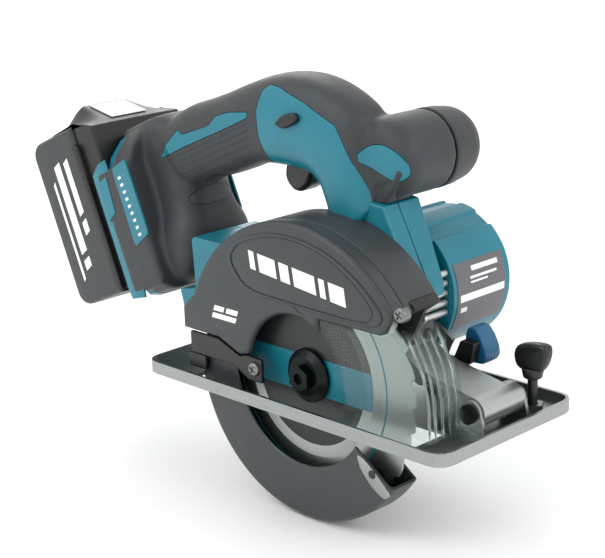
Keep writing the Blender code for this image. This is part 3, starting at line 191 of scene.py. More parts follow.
def moulded(name, code, roughness, grain, depth, spread=0.05):
    """Injection-moulded plastic: even colour, and a spark-eroded grain that breaks up its highlights."""
    made, tree, shader, place = new_material(name, IOR=1.53)
    tinted(tree, shader, linear(code), mottle(tree, place, 25 * MM, 0.2, 0.8, 2.0))
    rough = mottle(tree, place, 6 * MM, roughness - spread, roughness + spread, 4.0)
    tree.links.new(rough, shader.inputs["Roughness"])
    bump(tree, shader, mottle(tree, place, grain, 0.0, 1.0, 2.0), 0.35, depth)
    return made


def teal_abs(colours):
    # ABS off a finely textured tool: broad soft highlights on a saturated colour.
    return moulded("teal moulded ABS", colours.teal, 0.34, 0.9 * MM, 0.03 * MM, 0.04)


def charcoal_nylon(colours):
    # Glass-filled nylon: a dry satin surface with a visible spark grain.
    return moulded("charcoal glass-filled nylon", colours.charcoal, 0.46, 1.0 * MM, 0.06 * MM)


def overmould_rubber(colours):
    # Thermoplastic elastomer: nearly matt, with a soft pale sheen where light grazes it.
    made = moulded("charcoal soft-touch elastomer", colours.overmould, 0.55, 0.8 * MM, 0.06 * MM)
    shader = made.node_tree.nodes["Principled BSDF"]
    shader.inputs["Sheen Weight"].default_value = 0.12
    shader.inputs["Sheen Roughness"].default_value = 0.4
    return made


def black_nylon():
    # Plain black nylon: brackets, the trigger and the knob.
    return moulded("black moulded nylon", "#121314", 0.36, 1.0 * MM, 0.04 * MM)


def gloss_black_abs(colours):
    # Polished-tool ABS: a hard, clear highlight.
    return moulded("gloss black polished ABS", colours.gloss_black, 0.4, 2.5 * MM, 0.01 * MM, 0.03)


def brushed(name, code, roughness, along, stretch=40.0, grain=0.5 * MM, depth=0.01 * MM):
    """Metal with fine parallel scratches along one axis."""
    made, tree, shader, place = new_material(name, Metallic=1.0)
    scale = [1.0, 1.0, 1.0]
    scale["XYZ".index(along)] = 1 / stretch
    turned_place = add(tree, "ShaderNodeMapping", {}, {"Vector": place, "Scale": scale}).outputs["Vector"]
    lines = mottle(tree, turned_place, grain, 0.0, 1.0, 4.0)
    tinted(tree, shader, linear(code), lines)
    rough = add(tree, "ShaderNodeMapRange", {}, {"Value": lines, "To Min": roughness - 0.07,
                                                 "To Max": roughness + 0.07})
    tree.links.new(rough.outputs["Result"], shader.inputs["Roughness"])
    bump(tree, shader, lines, 0.25, depth)
    return made


def cast(name, code, roughness, grain, depth):
    """Cast or blasted metal: small random pits and no direction."""
    made, tree, shader, place = new_material(name, Metallic=1.0)
    pits = mottle(tree, place, grain, 0.0, 1.0, 5.0)
    tinted(tree, shader, linear(code), mottle(tree, place, 8 * MM, 0.0, 1.0))
    rough = add(tree, "ShaderNodeMapRange", {}, {"Value": pits, "To Min": roughness - 0.08,
                                                 "To Max": roughness + 0.08})
    tree.links.new(rough.outputs["Result"], shader.inputs["Roughness"])
    bump(tree, shader, pits, 0.3, depth)
    return made


def coated_guard(colours):
    # Powder coat on die-cast metal: an even satin with slight orange peel.
    return moulded("charcoal powder coat", colours.charcoal, 0.38, 1.6 * MM, 0.05 * MM)


def polycarbonate(clear_share=0.93):
    # Clear moulded polycarbonate: faintly green in the thick, with haze from use.
    name = f"clear moulded polycarbonate, {clear_share:.0%} see-through"
    made, tree, shader, place = new_material(name, IOR=1.45)
    shader.inputs["Base Color"].default_value = linear("#F3F7F4")
    shader.inputs["Transmission Weight"].default_value = 1.0
    tree.links.new(mottle(tree, place, 9 * MM, 0.01, 0.04, 4.0), shader.inputs["Roughness"])
    through = add(tree, "ShaderNodeBsdfTransparent", {}, {"Color": linear("#F4F8F6")})
    mix = add(tree, "ShaderNodeMixShader", {}, {"Fac": clear_share})
    tree.links.new(shader.outputs["BSDF"], mix.inputs[1])
    tree.links.new(through.outputs["BSDF"], mix.inputs[2])
    tree.links.new(mix.outputs["Shader"], tree.nodes["Material Output"].inputs["Surface"])
    return made


def printed_label(name, code):
    # Screen print on a polyester label: flat colour with a slight gloss.
    return moulded(name, code, 0.4, 3 * MM, 0.004 * MM, 0.04)


# The blade's print, as shares of its radius: its dark discs above and below, and a thin line round them.
DISC_LOW, DISC_HIGH = 0.524, 0.613
LINE_START, LINE_END = 0.728, 0.744
BAND_HALF = 10.5 * MM
DISC_INK = "#1D2123"
GROOVE_PITCH = 0.7 * MM


def blade_colours(tree, share, height, colours):
    """The print's colour: a dark disc above and below, a teal band between them, and a thin line round all."""
    in_band = math_node(tree, "COMPARE", height, 0.0, 1.0)
    above = math_node(tree, "GREATER_THAN", height, 0.0)
    line = [(LINE_START, colours.teal), (LINE_END, colours.blade)]
    lower, upper, band = (
        stepped(tree, share, [(0.0, ink), (edge, colours.blade)] + line)
        for ink, edge in ((DISC_INK, DISC_LOW), (DISC_INK, DISC_HIGH), (colours.teal, DISC_HIGH))
    )
    return blend(tree, in_band, blend(tree, above, lower, upper), band)


def blade_steel(colours):
    """Ground steel turned in circles, under the print of blade_colours."""
    made, tree, shader, place = new_material("ground blade steel, printed")
    centre = add(tree, "ShaderNodeMapping", {}, {"Vector": place, "Location": -BLADE_AXIS}).outputs["Vector"]
    apart = add(tree, "ShaderNodeSeparateXYZ", {}, {"Vector": centre})
    flat = add(tree, "ShaderNodeCombineXYZ", {}, {"X": apart.outputs["X"], "Z": apart.outputs["Z"]})
    length = add(tree, "ShaderNodeVectorMath", {"operation": "LENGTH"}, {0: flat.outputs["Vector"]})
    radius = length.outputs["Value"]
    grooves = add(tree, "ShaderNodeTexNoise", {"noise_dimensions": "1D"},
                  {"W": radius, "Scale": 1 / GROOVE_PITCH, "Detail": 4.0}).outputs["Fac"]
    share = math_node(tree, "MULTIPLY", radius, 1 / BLADE_RADIUS)
    height = math_node(tree, "MULTIPLY", apart.outputs["Z"], 1 / BAND_HALF)
    colour = blade_colours(tree, share, height, colours)
    streaks = add(tree, "ShaderNodeMix", {"data_type": "RGBA", "blend_type": "MULTIPLY"},
                  {"Factor": 0.25, "A": colour, "B": grooves})
    tree.links.new(streaks.outputs["Result"], shader.inputs["Base Color"])
    bare = [(0.0, "#000000"), (DISC_HIGH, "#FFFFFF"), (LINE_START, "#000000"), (LINE_END, "#FFFFFF")]
    tree.links.new(stepped(tree, share, bare), shader.inputs["Metallic"])
    rough = add(tree, "ShaderNodeMapRange", {}, {"Value": grooves, "To Min": 0.28, "To Max": 0.46})
    tree.links.new(rough.outputs["Result"], shader.inputs["Roughness"])
    bump(tree, shader, grooves, 0.15, 0.02 * MM)
    return made


def math_node(tree, operation, *values):
    return add(tree, "ShaderNodeMath", {"operation": operation}, dict(enumerate(values))).outputs["Value"]


def stepped(tree, share, stops):
    """A colour that changes in steps, from (share, hex colour) stops."""
    made = add(tree, "ShaderNodeValToRGB", {}, {"Fac": share})
    ramp = made.color_ramp
    ramp.interpolation = "CONSTANT"
    while len(ramp.elements) < len(stops):
        ramp.elements.new(1.0)
    for element, (place, code) in zip(ramp.elements, stops):
        element.position = place
        element.color = linear(code)
    return made.outputs["Color"]


def blend(tree, factor, first, second):
    return add(tree, "ShaderNodeMix", {"data_type": "RGBA"}, {"Factor": factor, "A": first,
                                                              "B": second}).outputs["Result"]


FINISHES = {}


def finish(name, maker, *args):
    """The material under that short name, made once."""
    if name not in FINISHES:
        FINISHES[name] = maker(*args)
    return FINISHES[name]


def palette():
    """Every material of the saw, by short name."""
    colours = bpy.context.scene.saw_colours
    finish("teal", teal_abs, colours)
    finish("nylon", charcoal_nylon, colours)
    finish("rubber", overmould_rubber, colours)
    finish("black", black_nylon)
    finish("gloss", gloss_black_abs, colours)
    finish("sole", brushed, "satin zinc-plated steel", colours.plate, 0.32, "X")
    finish("arm", brushed, "satin rolled aluminium", "#B4B8B6", 0.36, "X")
    finish("cast", cast, "cast aluminium, tumbled", "#C8CBC9", 0.42, 0.8 * MM, 0.05 * MM)
    finish("oxide", cast, "black oxide steel", "#26292A", 0.4, 0.7 * MM, 0.02 * MM)
    finish("zinc", cast, "bright zinc-plated steel", "#7F8382", 0.36, 0.8 * MM, 0.01 * MM)
    finish("bearing", brushed, "ground bearing steel", "#BFC3C4", 0.2, "Y")
    finish("spring", cast, "spring steel", "#7C8184", 0.3, 0.6 * MM, 0.01 * MM)
    finish("copper", cast, "enamelled copper winding", "#B4653A", 0.35, 0.5 * MM, 0.08 * MM)
    finish("board", moulded, "potted circuit board", "#1C5A3C", 0.4, 1.2 * MM, 0.02 * MM)
    finish("guard", coated_guard, colours)
    finish("clear", polycarbonate)
    finish("rib", polycarbonate, 0.25)
    finish("blade", blade_steel, colours)
    finish("label", printed_label, "grey printed label", "#625F64")
    finish("paper", printed_label, "pale paper label", "#C3C8C2")
    finish("white", printed_label, "white printed label", colours.ink)
    finish("pad", moulded, "blue-teal moulded ABS", colours.pad, 0.38, 1.2 * MM, 0.02 * MM)


# ---------------------------------------------------------------- mesh helpers


def piece(name, bm, look, body, *replaced, angle=SMOOTH_DEG):
    """A finished piece from a bmesh: its material, the body it rides on and the nodes it stands for."""
    obj = scratch(bm, name)
    mesh = obj.data
    mesh.materials.append(FINISHES[look])
    mesh.shade_smooth()
    mesh.set_sharp_from_angle(angle=math.radians(angle))
    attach(obj, body)
    if replaced:
        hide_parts(*replaced)
    return obj


def weighted(obj):
    """Keeps large flat faces looking flat beside their rounded edges."""
    modifier = obj.modifiers.new("flat faces", "WEIGHTED_NORMAL")
    modifier.keep_sharp = True
    return obj


def cad_copy(node):
    """A CAD node's solid as a clean bmesh, with its flat faces made whole."""
    bm = bmesh.new()
    bm.from_mesh(frame["nodes"][node].data)
    bmesh.ops.remove_doubles(bm, verts=bm.verts, dist=MERGE)
    bmesh.ops.dissolve_limit(bm, angle_limit=math.radians(1), verts=bm.verts, edges=bm.edges)
    return bm


def ease(bm, width, segments=3, angle=28):
    """Rounds every edge sharper than angle."""
    sharp = [e for e in bm.edges if len(e.link_faces) == 2 and e.calc_face_angle() > math.radians(angle)]
    bmesh.ops.bevel(bm, geom=sharp, offset=width, segments=segments, profile=0.5, affect="EDGES",
                    clamp_overlap=True, material=-1)
    return bm


def eased_node(node, look, width, segments=3, angle=28, name=None):
    """A CAD node's own shape with rounded edges, standing for it."""
    bm = ease(cad_copy(node), width, segments, angle)
    return weighted(piece(name or node + "_skin", bm, look, BODY_OF[node], node))


def paint(node, look):
    """A CAD node kept as it is, in its finished material."""
    obj = frame["nodes"][node]
    obj.data.materials.clear()
    obj.data.materials.append(FINISHES[look])


def in_mm(points):
    return [tuple(value * MM for value in point) for point in points]


def eased_rows(rows, steps):
    """Rows of numbers with steps - 1 more rows between each pair, on one smooth curve through them all."""
    made = []
    for i in range(len(rows) - 1):
        a, b = rows[i], rows[i + 1]
        before = rows[i - 1] if i else a
        after = rows[i + 2] if i + 2 < len(rows) else b
        for k in range(steps):
            t = k / steps
            made.append(tuple(smooth_step(*four, t) for four in zip(before, a, b, after)))
    return made + [tuple(rows[-1])]


def smooth_step(p, q, r, s, t):
    """A value between q and r, on the smooth curve that also runs through p and s."""
    return 0.5 * (2 * q + (r - p) * t + (2 * p - 5 * q + 4 * r - s) * t**2 + (3 * q - p - 3 * r + s) * t**3)


def softened(points, rounds=2, share=0.25):
    """A closed outline with its corners cut, round after round, until they are round."""
    for _ in range(rounds):
        cut = []
        for (ax, az), (bx, bz) in zip(points, points[1:] + points[:1]):
            cut.append((ax + (bx - ax) * share, az + (bz - az) * share))
            cut.append((bx - (bx - ax) * share, bz - (bz - az) * share))
        points = cut
    return points


def arc(centre, radius, start, end, steps):
    """Points round a centre, from one angle to another in degrees."""
    turns = [math.radians(start + (end - start) * i / steps) for i in range(steps + 1)]
    return [(centre[0] + radius * math.cos(t), centre[1] + radius * math.sin(t)) for t in turns]


def counter_clockwise(points):
    area = sum(a[0] * b[1] - b[0] * a[1] for a, b in zip(points, points[1:] + points[:1]))
    return points if area > 0 else points[::-1]


def slab_bmesh(outline, low, high, near_round=0.0, far_round=0.0, steps=5):
    """A plate whose outline lies in XZ, from y low to high, with its two rims rounded by those radii."""
    bm = bmesh.new()
    outline = counter_clockwise(list(outline))
    verts = [bm.verts.new((x, low + near_round, z)) for x, z in outline]
    near = bm.faces.new(verts)
    far = bmesh.ops.extrude_face_region(bm, geom=[near], use_keep_orig=True)
    moved = [v for v in far["geom"] if isinstance(v, bmesh.types.BMVert)]
    far_face = next(f for f in far["geom"] if isinstance(f, bmesh.types.BMFace))
    bmesh.ops.translate(bm, vec=(0, high - low - near_round - far_round, 0), verts=moved)
    bmesh.ops.recalc_face_normals(bm, faces=bm.faces)
    for face, radius in ((near, near_round), (far_face, far_round)):
        if radius:
            dome(bm, face, radius, steps)
    return bm


def dome(bm, face, radius, steps):
    """Rounds a flat face's rim over by insetting it step by step along a quarter circle."""
    turns = [math.pi / 2 * k / steps for k in range(steps + 1)]
    for a, b in zip(turns, turns[1:]):
        bmesh.ops.inset_region(bm, faces=[face], use_even_offset=True, use_boundary=True,
                               thickness=radius * (math.cos(a) - math.cos(b)),
                               depth=radius * (math.sin(b) - math.sin(a)))


def both_sides(outline, inner, outer, inner_round=0.0, outer_round=0.0, steps=5):
    """The same plate on the near and the far side, between two distances from the middle plane."""
    return [slab_bmesh(outline, -outer, -inner, outer_round, inner_round, steps),
            slab_bmesh(outline, inner, outer, inner_round, outer_round, steps)]


def box_bmesh(low, high):
    bm = bmesh.new()
    bmesh.ops.create_cube(bm, size=1)
    bmesh.ops.scale(bm, vec=[b - a for a, b in zip(low, high)], verts=bm.verts)
    bmesh.ops.translate(bm, vec=[(a + b) / 2 for a, b in zip(low, high)], verts=bm.verts)
    return bm


def spun(profile, centre, steps=48):
    """A profile of (radius, y) turned about the line along Y through centre, closed at the axis."""
    bm = bmesh.new()
    verts = [bm.verts.new((radius, y, 0)) for radius, y in profile]
    for a, b in zip(verts, verts[1:]):
        bm.edges.new((a, b))
    bmesh.ops.spin(bm, geom=bm.verts[:] + bm.edges[:], cent=(0, 0, 0), axis=(0, 1, 0), angle=math.tau,
                   steps=steps, use_merge=True)
    bmesh.ops.remove_doubles(bm, verts=bm.verts, dist=MERGE)
    bmesh.ops.recalc_face_normals(bm, faces=bm.faces)
    bmesh.ops.translate(bm, vec=(centre[0], 0, centre[1]), verts=bm.verts)
    return bm


def quarter(radius, y, size, side, steps=6):
    """Profile points round a rim: from the flat end at (radius - size, y) to the side at (radius, y + size)."""
    turns = [math.pi / 2 * k / steps for k in range(steps + 1)]
    return [(radius - size + size * math.sin(t), y + side * size * (1 - math.cos(t))) for t in turns]


def loft(rings):
    """A closed skin through rings of points, with the same number of points in each."""
    bm = bmesh.new()
    loops = []
    for ring in rings:
        made = bmesh.ops.create_circle(bm, segments=len(ring), radius=1)["verts"]
        for vert, place in zip(made, ring):
            vert.co = place
        loops.append([bm.edges.get((a, b)) for a, b in zip(made, made[1:] + made[:1])])
    for first, second in zip(loops, loops[1:]):
        bmesh.ops.bridge_loops(bm, edges=first + second)
    for end in (loops[0], loops[-1]):
        bmesh.ops.contextual_create(bm, geom=end)
    bmesh.ops.recalc_face_normals(bm, faces=bm.faces)
    return bm


def squircle(centre, across, along, power, count=40):
    """A ring round centre with two half axes, between an ellipse (power 2) and a rectangle."""
    ring = []
    for k in range(count):
        c, s = math.cos(math.tau * k / count), math.sin(math.tau * k / count)
        a = math.copysign(abs(c) ** (2 / power), c)
        b = math.copysign(abs(s) ** (2 / power), s)
        ring.append(centre + across * a + along * b)
    return ring


def cone(place, low_radius, high_radius, depth, segments):
    bm = bmesh.new()
    bmesh.ops.create_cone(bm, cap_ends=True, segments=segments, radius1=low_radius, radius2=high_radius,
                          depth=depth)
    bmesh.ops.translate(bm, vec=place, verts=bm.verts)
    return bm


def scratch(bm, name="scratch"):
    """A new object with that mesh. The bmesh is used up."""
    mesh = bpy.data.meshes.new(name)
    bm.to_mesh(mesh)
    bm.free()
    obj = bpy.data.objects.new(name, mesh)
    bpy.context.scene.collection.objects.link(obj)
    return obj


def taken(obj):
    """What an object's modifiers make of it, as a bmesh. The object is removed."""
    graph = bpy.context.evaluated_depsgraph_get()
    bm = bmesh.new()
    bm.from_object(obj, graph)
    bpy.data.objects.remove(obj)
    return bm


def combined(bm, other, operation, solver="EXACT"):
    """bm joined with, cut by or kept inside other. Both are used up."""
    target, tool = scratch(bm), scratch(other, "tool")
    modifier = target.modifiers.new("combine", "BOOLEAN")
    modifier.operation, modifier.object, modifier.solver = operation, tool, solver
    made = taken(target)
    bpy.data.objects.remove(tool)
    return made


def cut(bm, tool):
    return combined(bm, tool, "DIFFERENCE", "MANIFOLD")


def merged(parts):
    """Separate solids in one bmesh."""
    whole = bmesh.new()
    for part in parts:
        mesh = bpy.data.meshes.new("part")
        part.to_mesh(mesh)
        part.free()
        whole.from_mesh(mesh)
        bpy.data.meshes.remove(mesh)
    return whole


def blended(parts, voxel, rounds):
    """Parts melted into one skin: remeshed finely and smoothed, so that they flow into each other."""
    obj = scratch(merged(parts))
    remesh = obj.modifiers.new("one skin", "REMESH")
    remesh.mode, remesh.voxel_size = "VOXEL", voxel
    smooth = obj.modifiers.new("flow", "SMOOTH")
    smooth.factor, smooth.iterations = 0.5, rounds
    return taken(obj)


def prism(outline, low=-REACH, high=REACH):
    return slab_bmesh(outline, low, high)


def inside(solid, outline, low=-REACH, high=REACH):
    """A copy of the part of a solid whose side view lies within the outline."""
    return combined(solid.copy(), prism(outline, low, high), "INTERSECT", "MANIFOLD")


def puffed(solid, distance):
    """A copy of a smooth solid, a little larger all round."""
    bm = solid.copy()
    bm.normal_update()
    for vert in bm.verts:
        vert.co += vert.normal * distance
    return bm


def surface_points(tree, path, side, lift):
    """A path of (x, z) laid on a solid's near (-1) or far (1) side, lifted off it."""
    points = []
    for x, z in path:
        hit, normal, _, _ = tree.ray_cast(Vector((x, side, z)), Vector((0, -side, 0)))
        if hit is not None:
            points.append(hit + normal * lift)
    return points


def tube(points, radius, sides=8):
    """A round bar through points, with narrowed ends."""
    rings_made = []
    for i, point in enumerate(points):
        ahead = points[min(i + 1, len(points) - 1)] - points[max(i - 1, 0)]
        turn = ahead.normalized().to_track_quat("Z", "Y")
        size = radius * (0.3 if i in (0, len(points) - 1) else 1)
        rings_made.append(squircle(point, turn @ Vector((size, 0, 0)), turn @ Vector((0, size, 0)), 2, sides))
    return loft(rings_made)


def cross_screw(node, radius, depth):
    """A pan-head screw seen along Y, with a cross recess, standing for a screw's node."""
    centre, near_y = centre_line(node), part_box(node)[0].y
    profile = [(0, near_y)] + quarter(radius, near_y, 0.35 * radius, 1) + [(radius, near_y + depth)]
    head = spun(profile + [(0, near_y + depth)], centre, 32)
    for turn in (0, math.pi / 2):
        bar = box_bmesh((-0.6 * radius, near_y - 1 * MM, -0.13 * radius),
                        (0.6 * radius, near_y + 0.9 * MM, 0.13 * radius))
        bmesh.ops.rotate(bar, cent=(0, 0, 0), matrix=Matrix.Rotation(turn + 0.5, 3, "Y"), verts=bar.verts)
        bmesh.ops.translate(bar, vec=(centre[0], 0, centre[1]), verts=bar.verts)
        head = combined(head, bar, "DIFFERENCE")
    return piece(node + "_head", head, "zinc", "saw_body", node)


# ---------------------------------------------------------------- battery


LEAN = math.radians(23.5)
BATTERY_FOOT = Vector((-197.6 * MM, 0, 17 * MM))
BATTERY_HALF = (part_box("battery_case")[1].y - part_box("battery_case")[0].y) / 2


def leaned(along, forward):
    """A point in XZ from lengths up the battery and forward from its back."""
    x = BATTERY_FOOT.x - along * math.sin(LEAN) + forward * math.cos(LEAN)
    return (x, BATTERY_FOOT.z + along * math.cos(LEAN) + forward * math.sin(LEAN))


def leaned_outline(points):
    return [leaned(along * MM, forward * MM) for along, forward in points]


# Half of the mount's shoulders, as millimetres from the middle and up the lean.
# Above their foot they lean forward.
SHOULDER = ((24, -9), (31, -7), (35, -1), (35.5, 8), (35.5, 52), (34.5, 66), (30, 77), (22, 85.5), (12, 90),
            (0, 91.5))
SHOULDER_FOOT = 70 * MM
SHOULDER_TILT = 0.42
TOP_START = 60 * MM
GRIP_SEAM_Y = 31 * MM
GRIP_INSET = ((15.1, 136.6), (18.2, 140.2), (22.4, 142.3), (31, 143.2), (39.3, 139.8), (44.3, 134), (44, 127.4),
              (39.1, 124.3), (30.7, 126.8), (22.1, 130), (16.4, 131.8))


def leaned_slab(outline, low, high, near_round=0.0, far_round=0.0, tilt=0.0):
    """A plate across the battery's depth, from forward low to high. Its outline is (y, along)."""
    bm = slab_bmesh(outline, low, high, near_round, far_round)
    if tilt:
        whole = bm.verts[:] + bm.edges[:] + bm.faces[:]
        bmesh.ops.bisect_plane(bm, geom=whole, plane_co=(0, 0, SHOULDER_FOOT), plane_no=(0, 0, 1))
        for vert in bm.verts:
            vert.co.y += max(0.0, vert.co.z - SHOULDER_FOOT) * tilt
    up = Vector((-math.sin(LEAN), 0, math.cos(LEAN)))
    fore = Vector((math.cos(LEAN), 0, math.sin(LEAN)))
    turn = Matrix((Vector((0, 1, 0)), fore, up)).transposed()
    bmesh.ops.transform(bm, matrix=Matrix.Translation(BATTERY_FOOT) @ turn.to_4x4(), verts=bm.verts)
    bmesh.ops.reverse_faces(bm, faces=bm.faces)
    return bm


def shoulder_outline(out=0.0):
    """The mount's outline, moved out at its sides and its top."""
    half = [(y * MM + out, along * MM + (out if along * MM > TOP_START else 0)) for y, along in SHOULDER]
    return half + [(-y, along) for y, along in half[-2::-1]]


# ---------------------------------------------------------------- handle


# Where the handle's arch runs: its upper edge, its lower edge (x, z each) and its half width.
ARCH = (
    (-139, 137.5, -116, 100, 22),
    (-121.6, 147.4, -105, 105.5, 20.5),
    (-106, 152.5, -92, 109.5, 19.5),
    (-90, 158, -78, 114.5, 19),
    (-70, 165.8, -62, 120.5, 19),
    (-50, 172, -47, 121.5, 19.3),
    (-30, 174, -32, 121, 19.4),
    (-12, 171.5, -20, 119, 19.3),
    (4, 165.5, -13, 112, 19),
    (15, 158, -12, 107, 18.5),
    (18, 147, -9, 99, 18),
    (19, 131, -6, 89, 17.5),
    (25, 111, 1, 79, 17),
)
# The rear column, up the battery's lean: length along it, its front face and its half width.
COLUMN = (
    (-7, 90, 22),
    (-3, 98, 26),
    (6, 105, 28.5),
    (20, 109, 28),
    (34, 108, 23),
    (50, 111, 21),
    (72, 114, 21),
    (84, 110, 21),
    (91, 102, 19),
)
COLUMN_REAR = 60 * MM
SEAM_GAP = 0.4 * MM
HANDLE_VOXEL = 1.2 * MM
FLOW_ROUNDS = 22
COVER_HALF = 37.4 * MM
COVER_FRONT = 84 * MM
# What the battery slides in, as (up the lean, forward) and half its width.
BATTERY_ROOM = ((-30, 30), (-30, 61.2), (130, 61.2), (130, 30))
BATTERY_ROOM_HALF = 35.3 * MM
# Each side's name, and where what is let into the handle's side starts and ends across.
HANDLE_SIDES = (("near", -60 * MM, -8 * MM), ("far", 8 * MM, 60 * MM))
RIB_STEPS = 24
TEAL_SIDE = ((-51, 164.5), (-47, 167.5), (-39, 167), (-18.5, 161.2), (3.6, 151.3), (8.5, 143.8),
             (16, 127.5), (25, 110), (32, 96), (20, 60), (-20, 60), (-30, 112), (-45, 117.5),
             (-48.4, 124.8), (-52.5, 138.4), (-54, 152.9))
FLASH = ((-134.5, 116.9), (-130.3, 123.5), (-119.4, 135.1), (-116, 132.4), (-93.6, 140.2), (-88.5, 146),
         (-77.7, 149.4), (-61.9, 151.4), (-61.2, 149.3), (-63.7, 147.4), (-83.4, 138.8), (-110.2, 127.6),
         (-126.9, 119.7))
SCOOP = ((-116.6, 95), (-115.3, 91.7), (-110.5, 89.7), (-100.4, 90.3), (-96, 86.5), (-89, 83.6), (-70, 82),
         (-74, 112), (-100, 110), (-112, 103))
RIB_STARTS = ((-130, 115.6), (-127.5, 113.2), (-124.3, 110.8), (-120.9, 108.3), (-117, 105.9))
RIB_ENDS = ((-60.8, 146), (-60.5, 142.2), (-60.2, 138.2), (-59.9, 134.2), (-59.6, 130.2))


def arch():
    rings_made = []
    for top_x, top_z, low_x, low_z, half in eased_rows(in_mm(ARCH), 4):
        top, low = Vector((top_x, 0, top_z)), Vector((low_x, 0, low_z))
        rings_made.append(squircle((top + low) / 2, (top - low) / 2, Vector((0, half, 0)), 2.7))
    return loft(rings_made)


def column():
    rings_made = []
    for along, front, half in eased_rows(in_mm(COLUMN), 4):
        rear = leaned(along, COLUMN_REAR)
        nose = leaned(along, front)
        back, fore = Vector((rear[0], 0, rear[1])), Vector((nose[0], 0, nose[1]))
        rings_made.append(squircle((back + fore) / 2, (fore - back) / 2, Vector((0, half, 0)), 3.2))
    return loft(rings_made)


def barrel():
    """The near part of the barrel-shaped front grip, up to the seam with its far part."""
    near, seam = BARREL[0].y, GRIP_SEAM_Y - SEAM_GAP
    profile = [(0, near)] + quarter(BARREL_RADIUS, near, 11 * MM, 1, 8) + [(BARREL_RADIUS, seam), (0, seam)]
    return spun(profile, BARREL_CENTRE, 64)


def mount_blocks():
    """The dark cover of the battery mount: full width beside the battery, then shoulders that lean forward."""
    low, high = -4 * MM, 71 * MM
    side = [(-COVER_HALF, low), (COVER_HALF, low), (COVER_HALF, high), (-COVER_HALF, high)]
    return [leaned_slab(side, 54 * MM, COVER_FRONT, 0, 1 * MM),
            leaned_slab(shoulder_outline(0.9 * MM), 66 * MM, COVER_FRONT, 0, 1 * MM, SHOULDER_TILT)]


def handle_solid():
    """Arch, column, mount cover and front grip melted into one smooth form, with room left for the battery."""
    solid = blended([arch(), column(), barrel()] + mount_blocks(), HANDLE_VOXEL, FLOW_ROUNDS)
    solid = cut(solid, slab_bmesh(leaned_outline(BATTERY_ROOM), -BATTERY_ROOM_HALF, BATTERY_ROOM_HALF))
    seam = GRIP_SEAM_Y - SEAM_GAP
    return cut(solid, box_bmesh((0, seam, 100 * MM), (60 * MM, seam + 20 * MM, 170 * MM)))


def grown(outline, distance):
    """A rough outline moved outwards, for the groove left round what is let into a surface."""
    points = counter_clockwise(list(outline))
    moved = []
    for before, here, after in zip(points[-1:] + points[:-1], points, points[1:] + points[:1]):
        along = (Vector(after) - Vector(before)).normalized()
        moved.append((here[0] + along.y * distance, here[1] - along.x * distance))
    return moved


def side_cutter(outline, room):
    """A prism through the handle that spares the front grip."""
    radius, near, far = BARREL_RADIUS + room, BARREL[0].y - 1 * MM, 120 * MM
    keep = spun([(0, near), (radius, near), (radius, far), (0, far)], BARREL_CENTRE, 64)
    return combined(prism(outline), keep, "DIFFERENCE")


def side_ribs(solid, width, facing):
    """Ribs half sunk into one side of the handle, near (-1) or far (1)."""
    tree = BVHTree.FromBMesh(solid)
    bars = []
    for start, end in zip(in_mm(RIB_STARTS), in_mm(RIB_ENDS)):
        path = [(start[0] + (end[0] - start[0]) * t / RIB_STEPS, start[1] + (end[1] - start[1]) * t / RIB_STEPS)
                for t in range(RIB_STEPS + 1)]
        bars.append(tube(surface_points(tree, path, facing, -0.15 * width), width / 2))
    return merged(bars)


class BuildHandle(bpy.types.Operator):
    """Soft rubber skin of the handle, with the teal sides, flashes, grip inset, scoop and ribs let into it"""

    bl_idname = "saw.handle"
    bl_label = "Handle"

    def execute(self, context):
        solid = handle_solid()
        side = in_mm(TEAL_SIDE)
        flash = softened(in_mm(FLASH), 1, 0.12)
        inset = softened(in_mm(GRIP_INSET), 2)
        scoop = softened(in_mm(SCOOP), 1, 0.15)
        inset_low, inset_high = BARREL[0].y - 4 * MM, BARREL[0].y + 8 * MM
        rubber = cut(solid.copy(), side_cutter(grown(side, GROOVE), 0))
        for _, low, high in HANDLE_SIDES:
            rubber = cut(rubber, prism(grown(flash, GROOVE), low, high))
        piece("column_scoop", inside(solid, scoop), "nylon", "saw_body", angle=50)
        rubber = cut(rubber, prism(grown(scoop, GROOVE)))
        rubber = cut(rubber, prism(grown(inset, GROOVE), inset_low, inset_high))
        piece("handle_rubber", rubber, "rubber", "saw_body", "grip_rubber", "front_grip", angle=50)
        sides = combined(solid.copy(), side_cutter(side, GROOVE), "INTERSECT", "MANIFOLD")
        piece("handle_sides", sides, "teal", "saw_body", "grip_inset_near", "grip_inset_far", angle=50)
        core = puffed(solid, 0.15 * MM)
        piece("front_grip_inset", inside(core, inset, inset_low, inset_high), "teal", "saw_body", angle=50)
        for name, low, high in HANDLE_SIDES:
            piece("flash_" + name, inside(core, flash, low, high), "teal", "saw_body", angle=50)
        core.free()
        for name, facing in (("near", -1), ("far", 1)):
            ribs = side_ribs(solid, context.scene.saw_sizes.rib, facing)
            piece("ribs_" + name, ribs, "rubber", "saw_body", angle=60)
        solid.free()
        return {"FINISHED"}


# ---------------------------------------------------------------- body behind the blade case


# The blade case's radius, the angles its curved wall spans, and the top and bottom of its upright rear edge.
CASE_RADIUS = 86 * MM
CASE_START, CASE_END = 35, 158
CASE_REAR_X = -89 * MM
REAR_TOP, REAR_LOW = 24 * MM, 11 * MM
CASE_FAR_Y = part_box("blade_case")[1].y
SEAM = 0.25 * MM
CHEST_FAR, TAIL_FAR = 14 * MM, 17 * MM
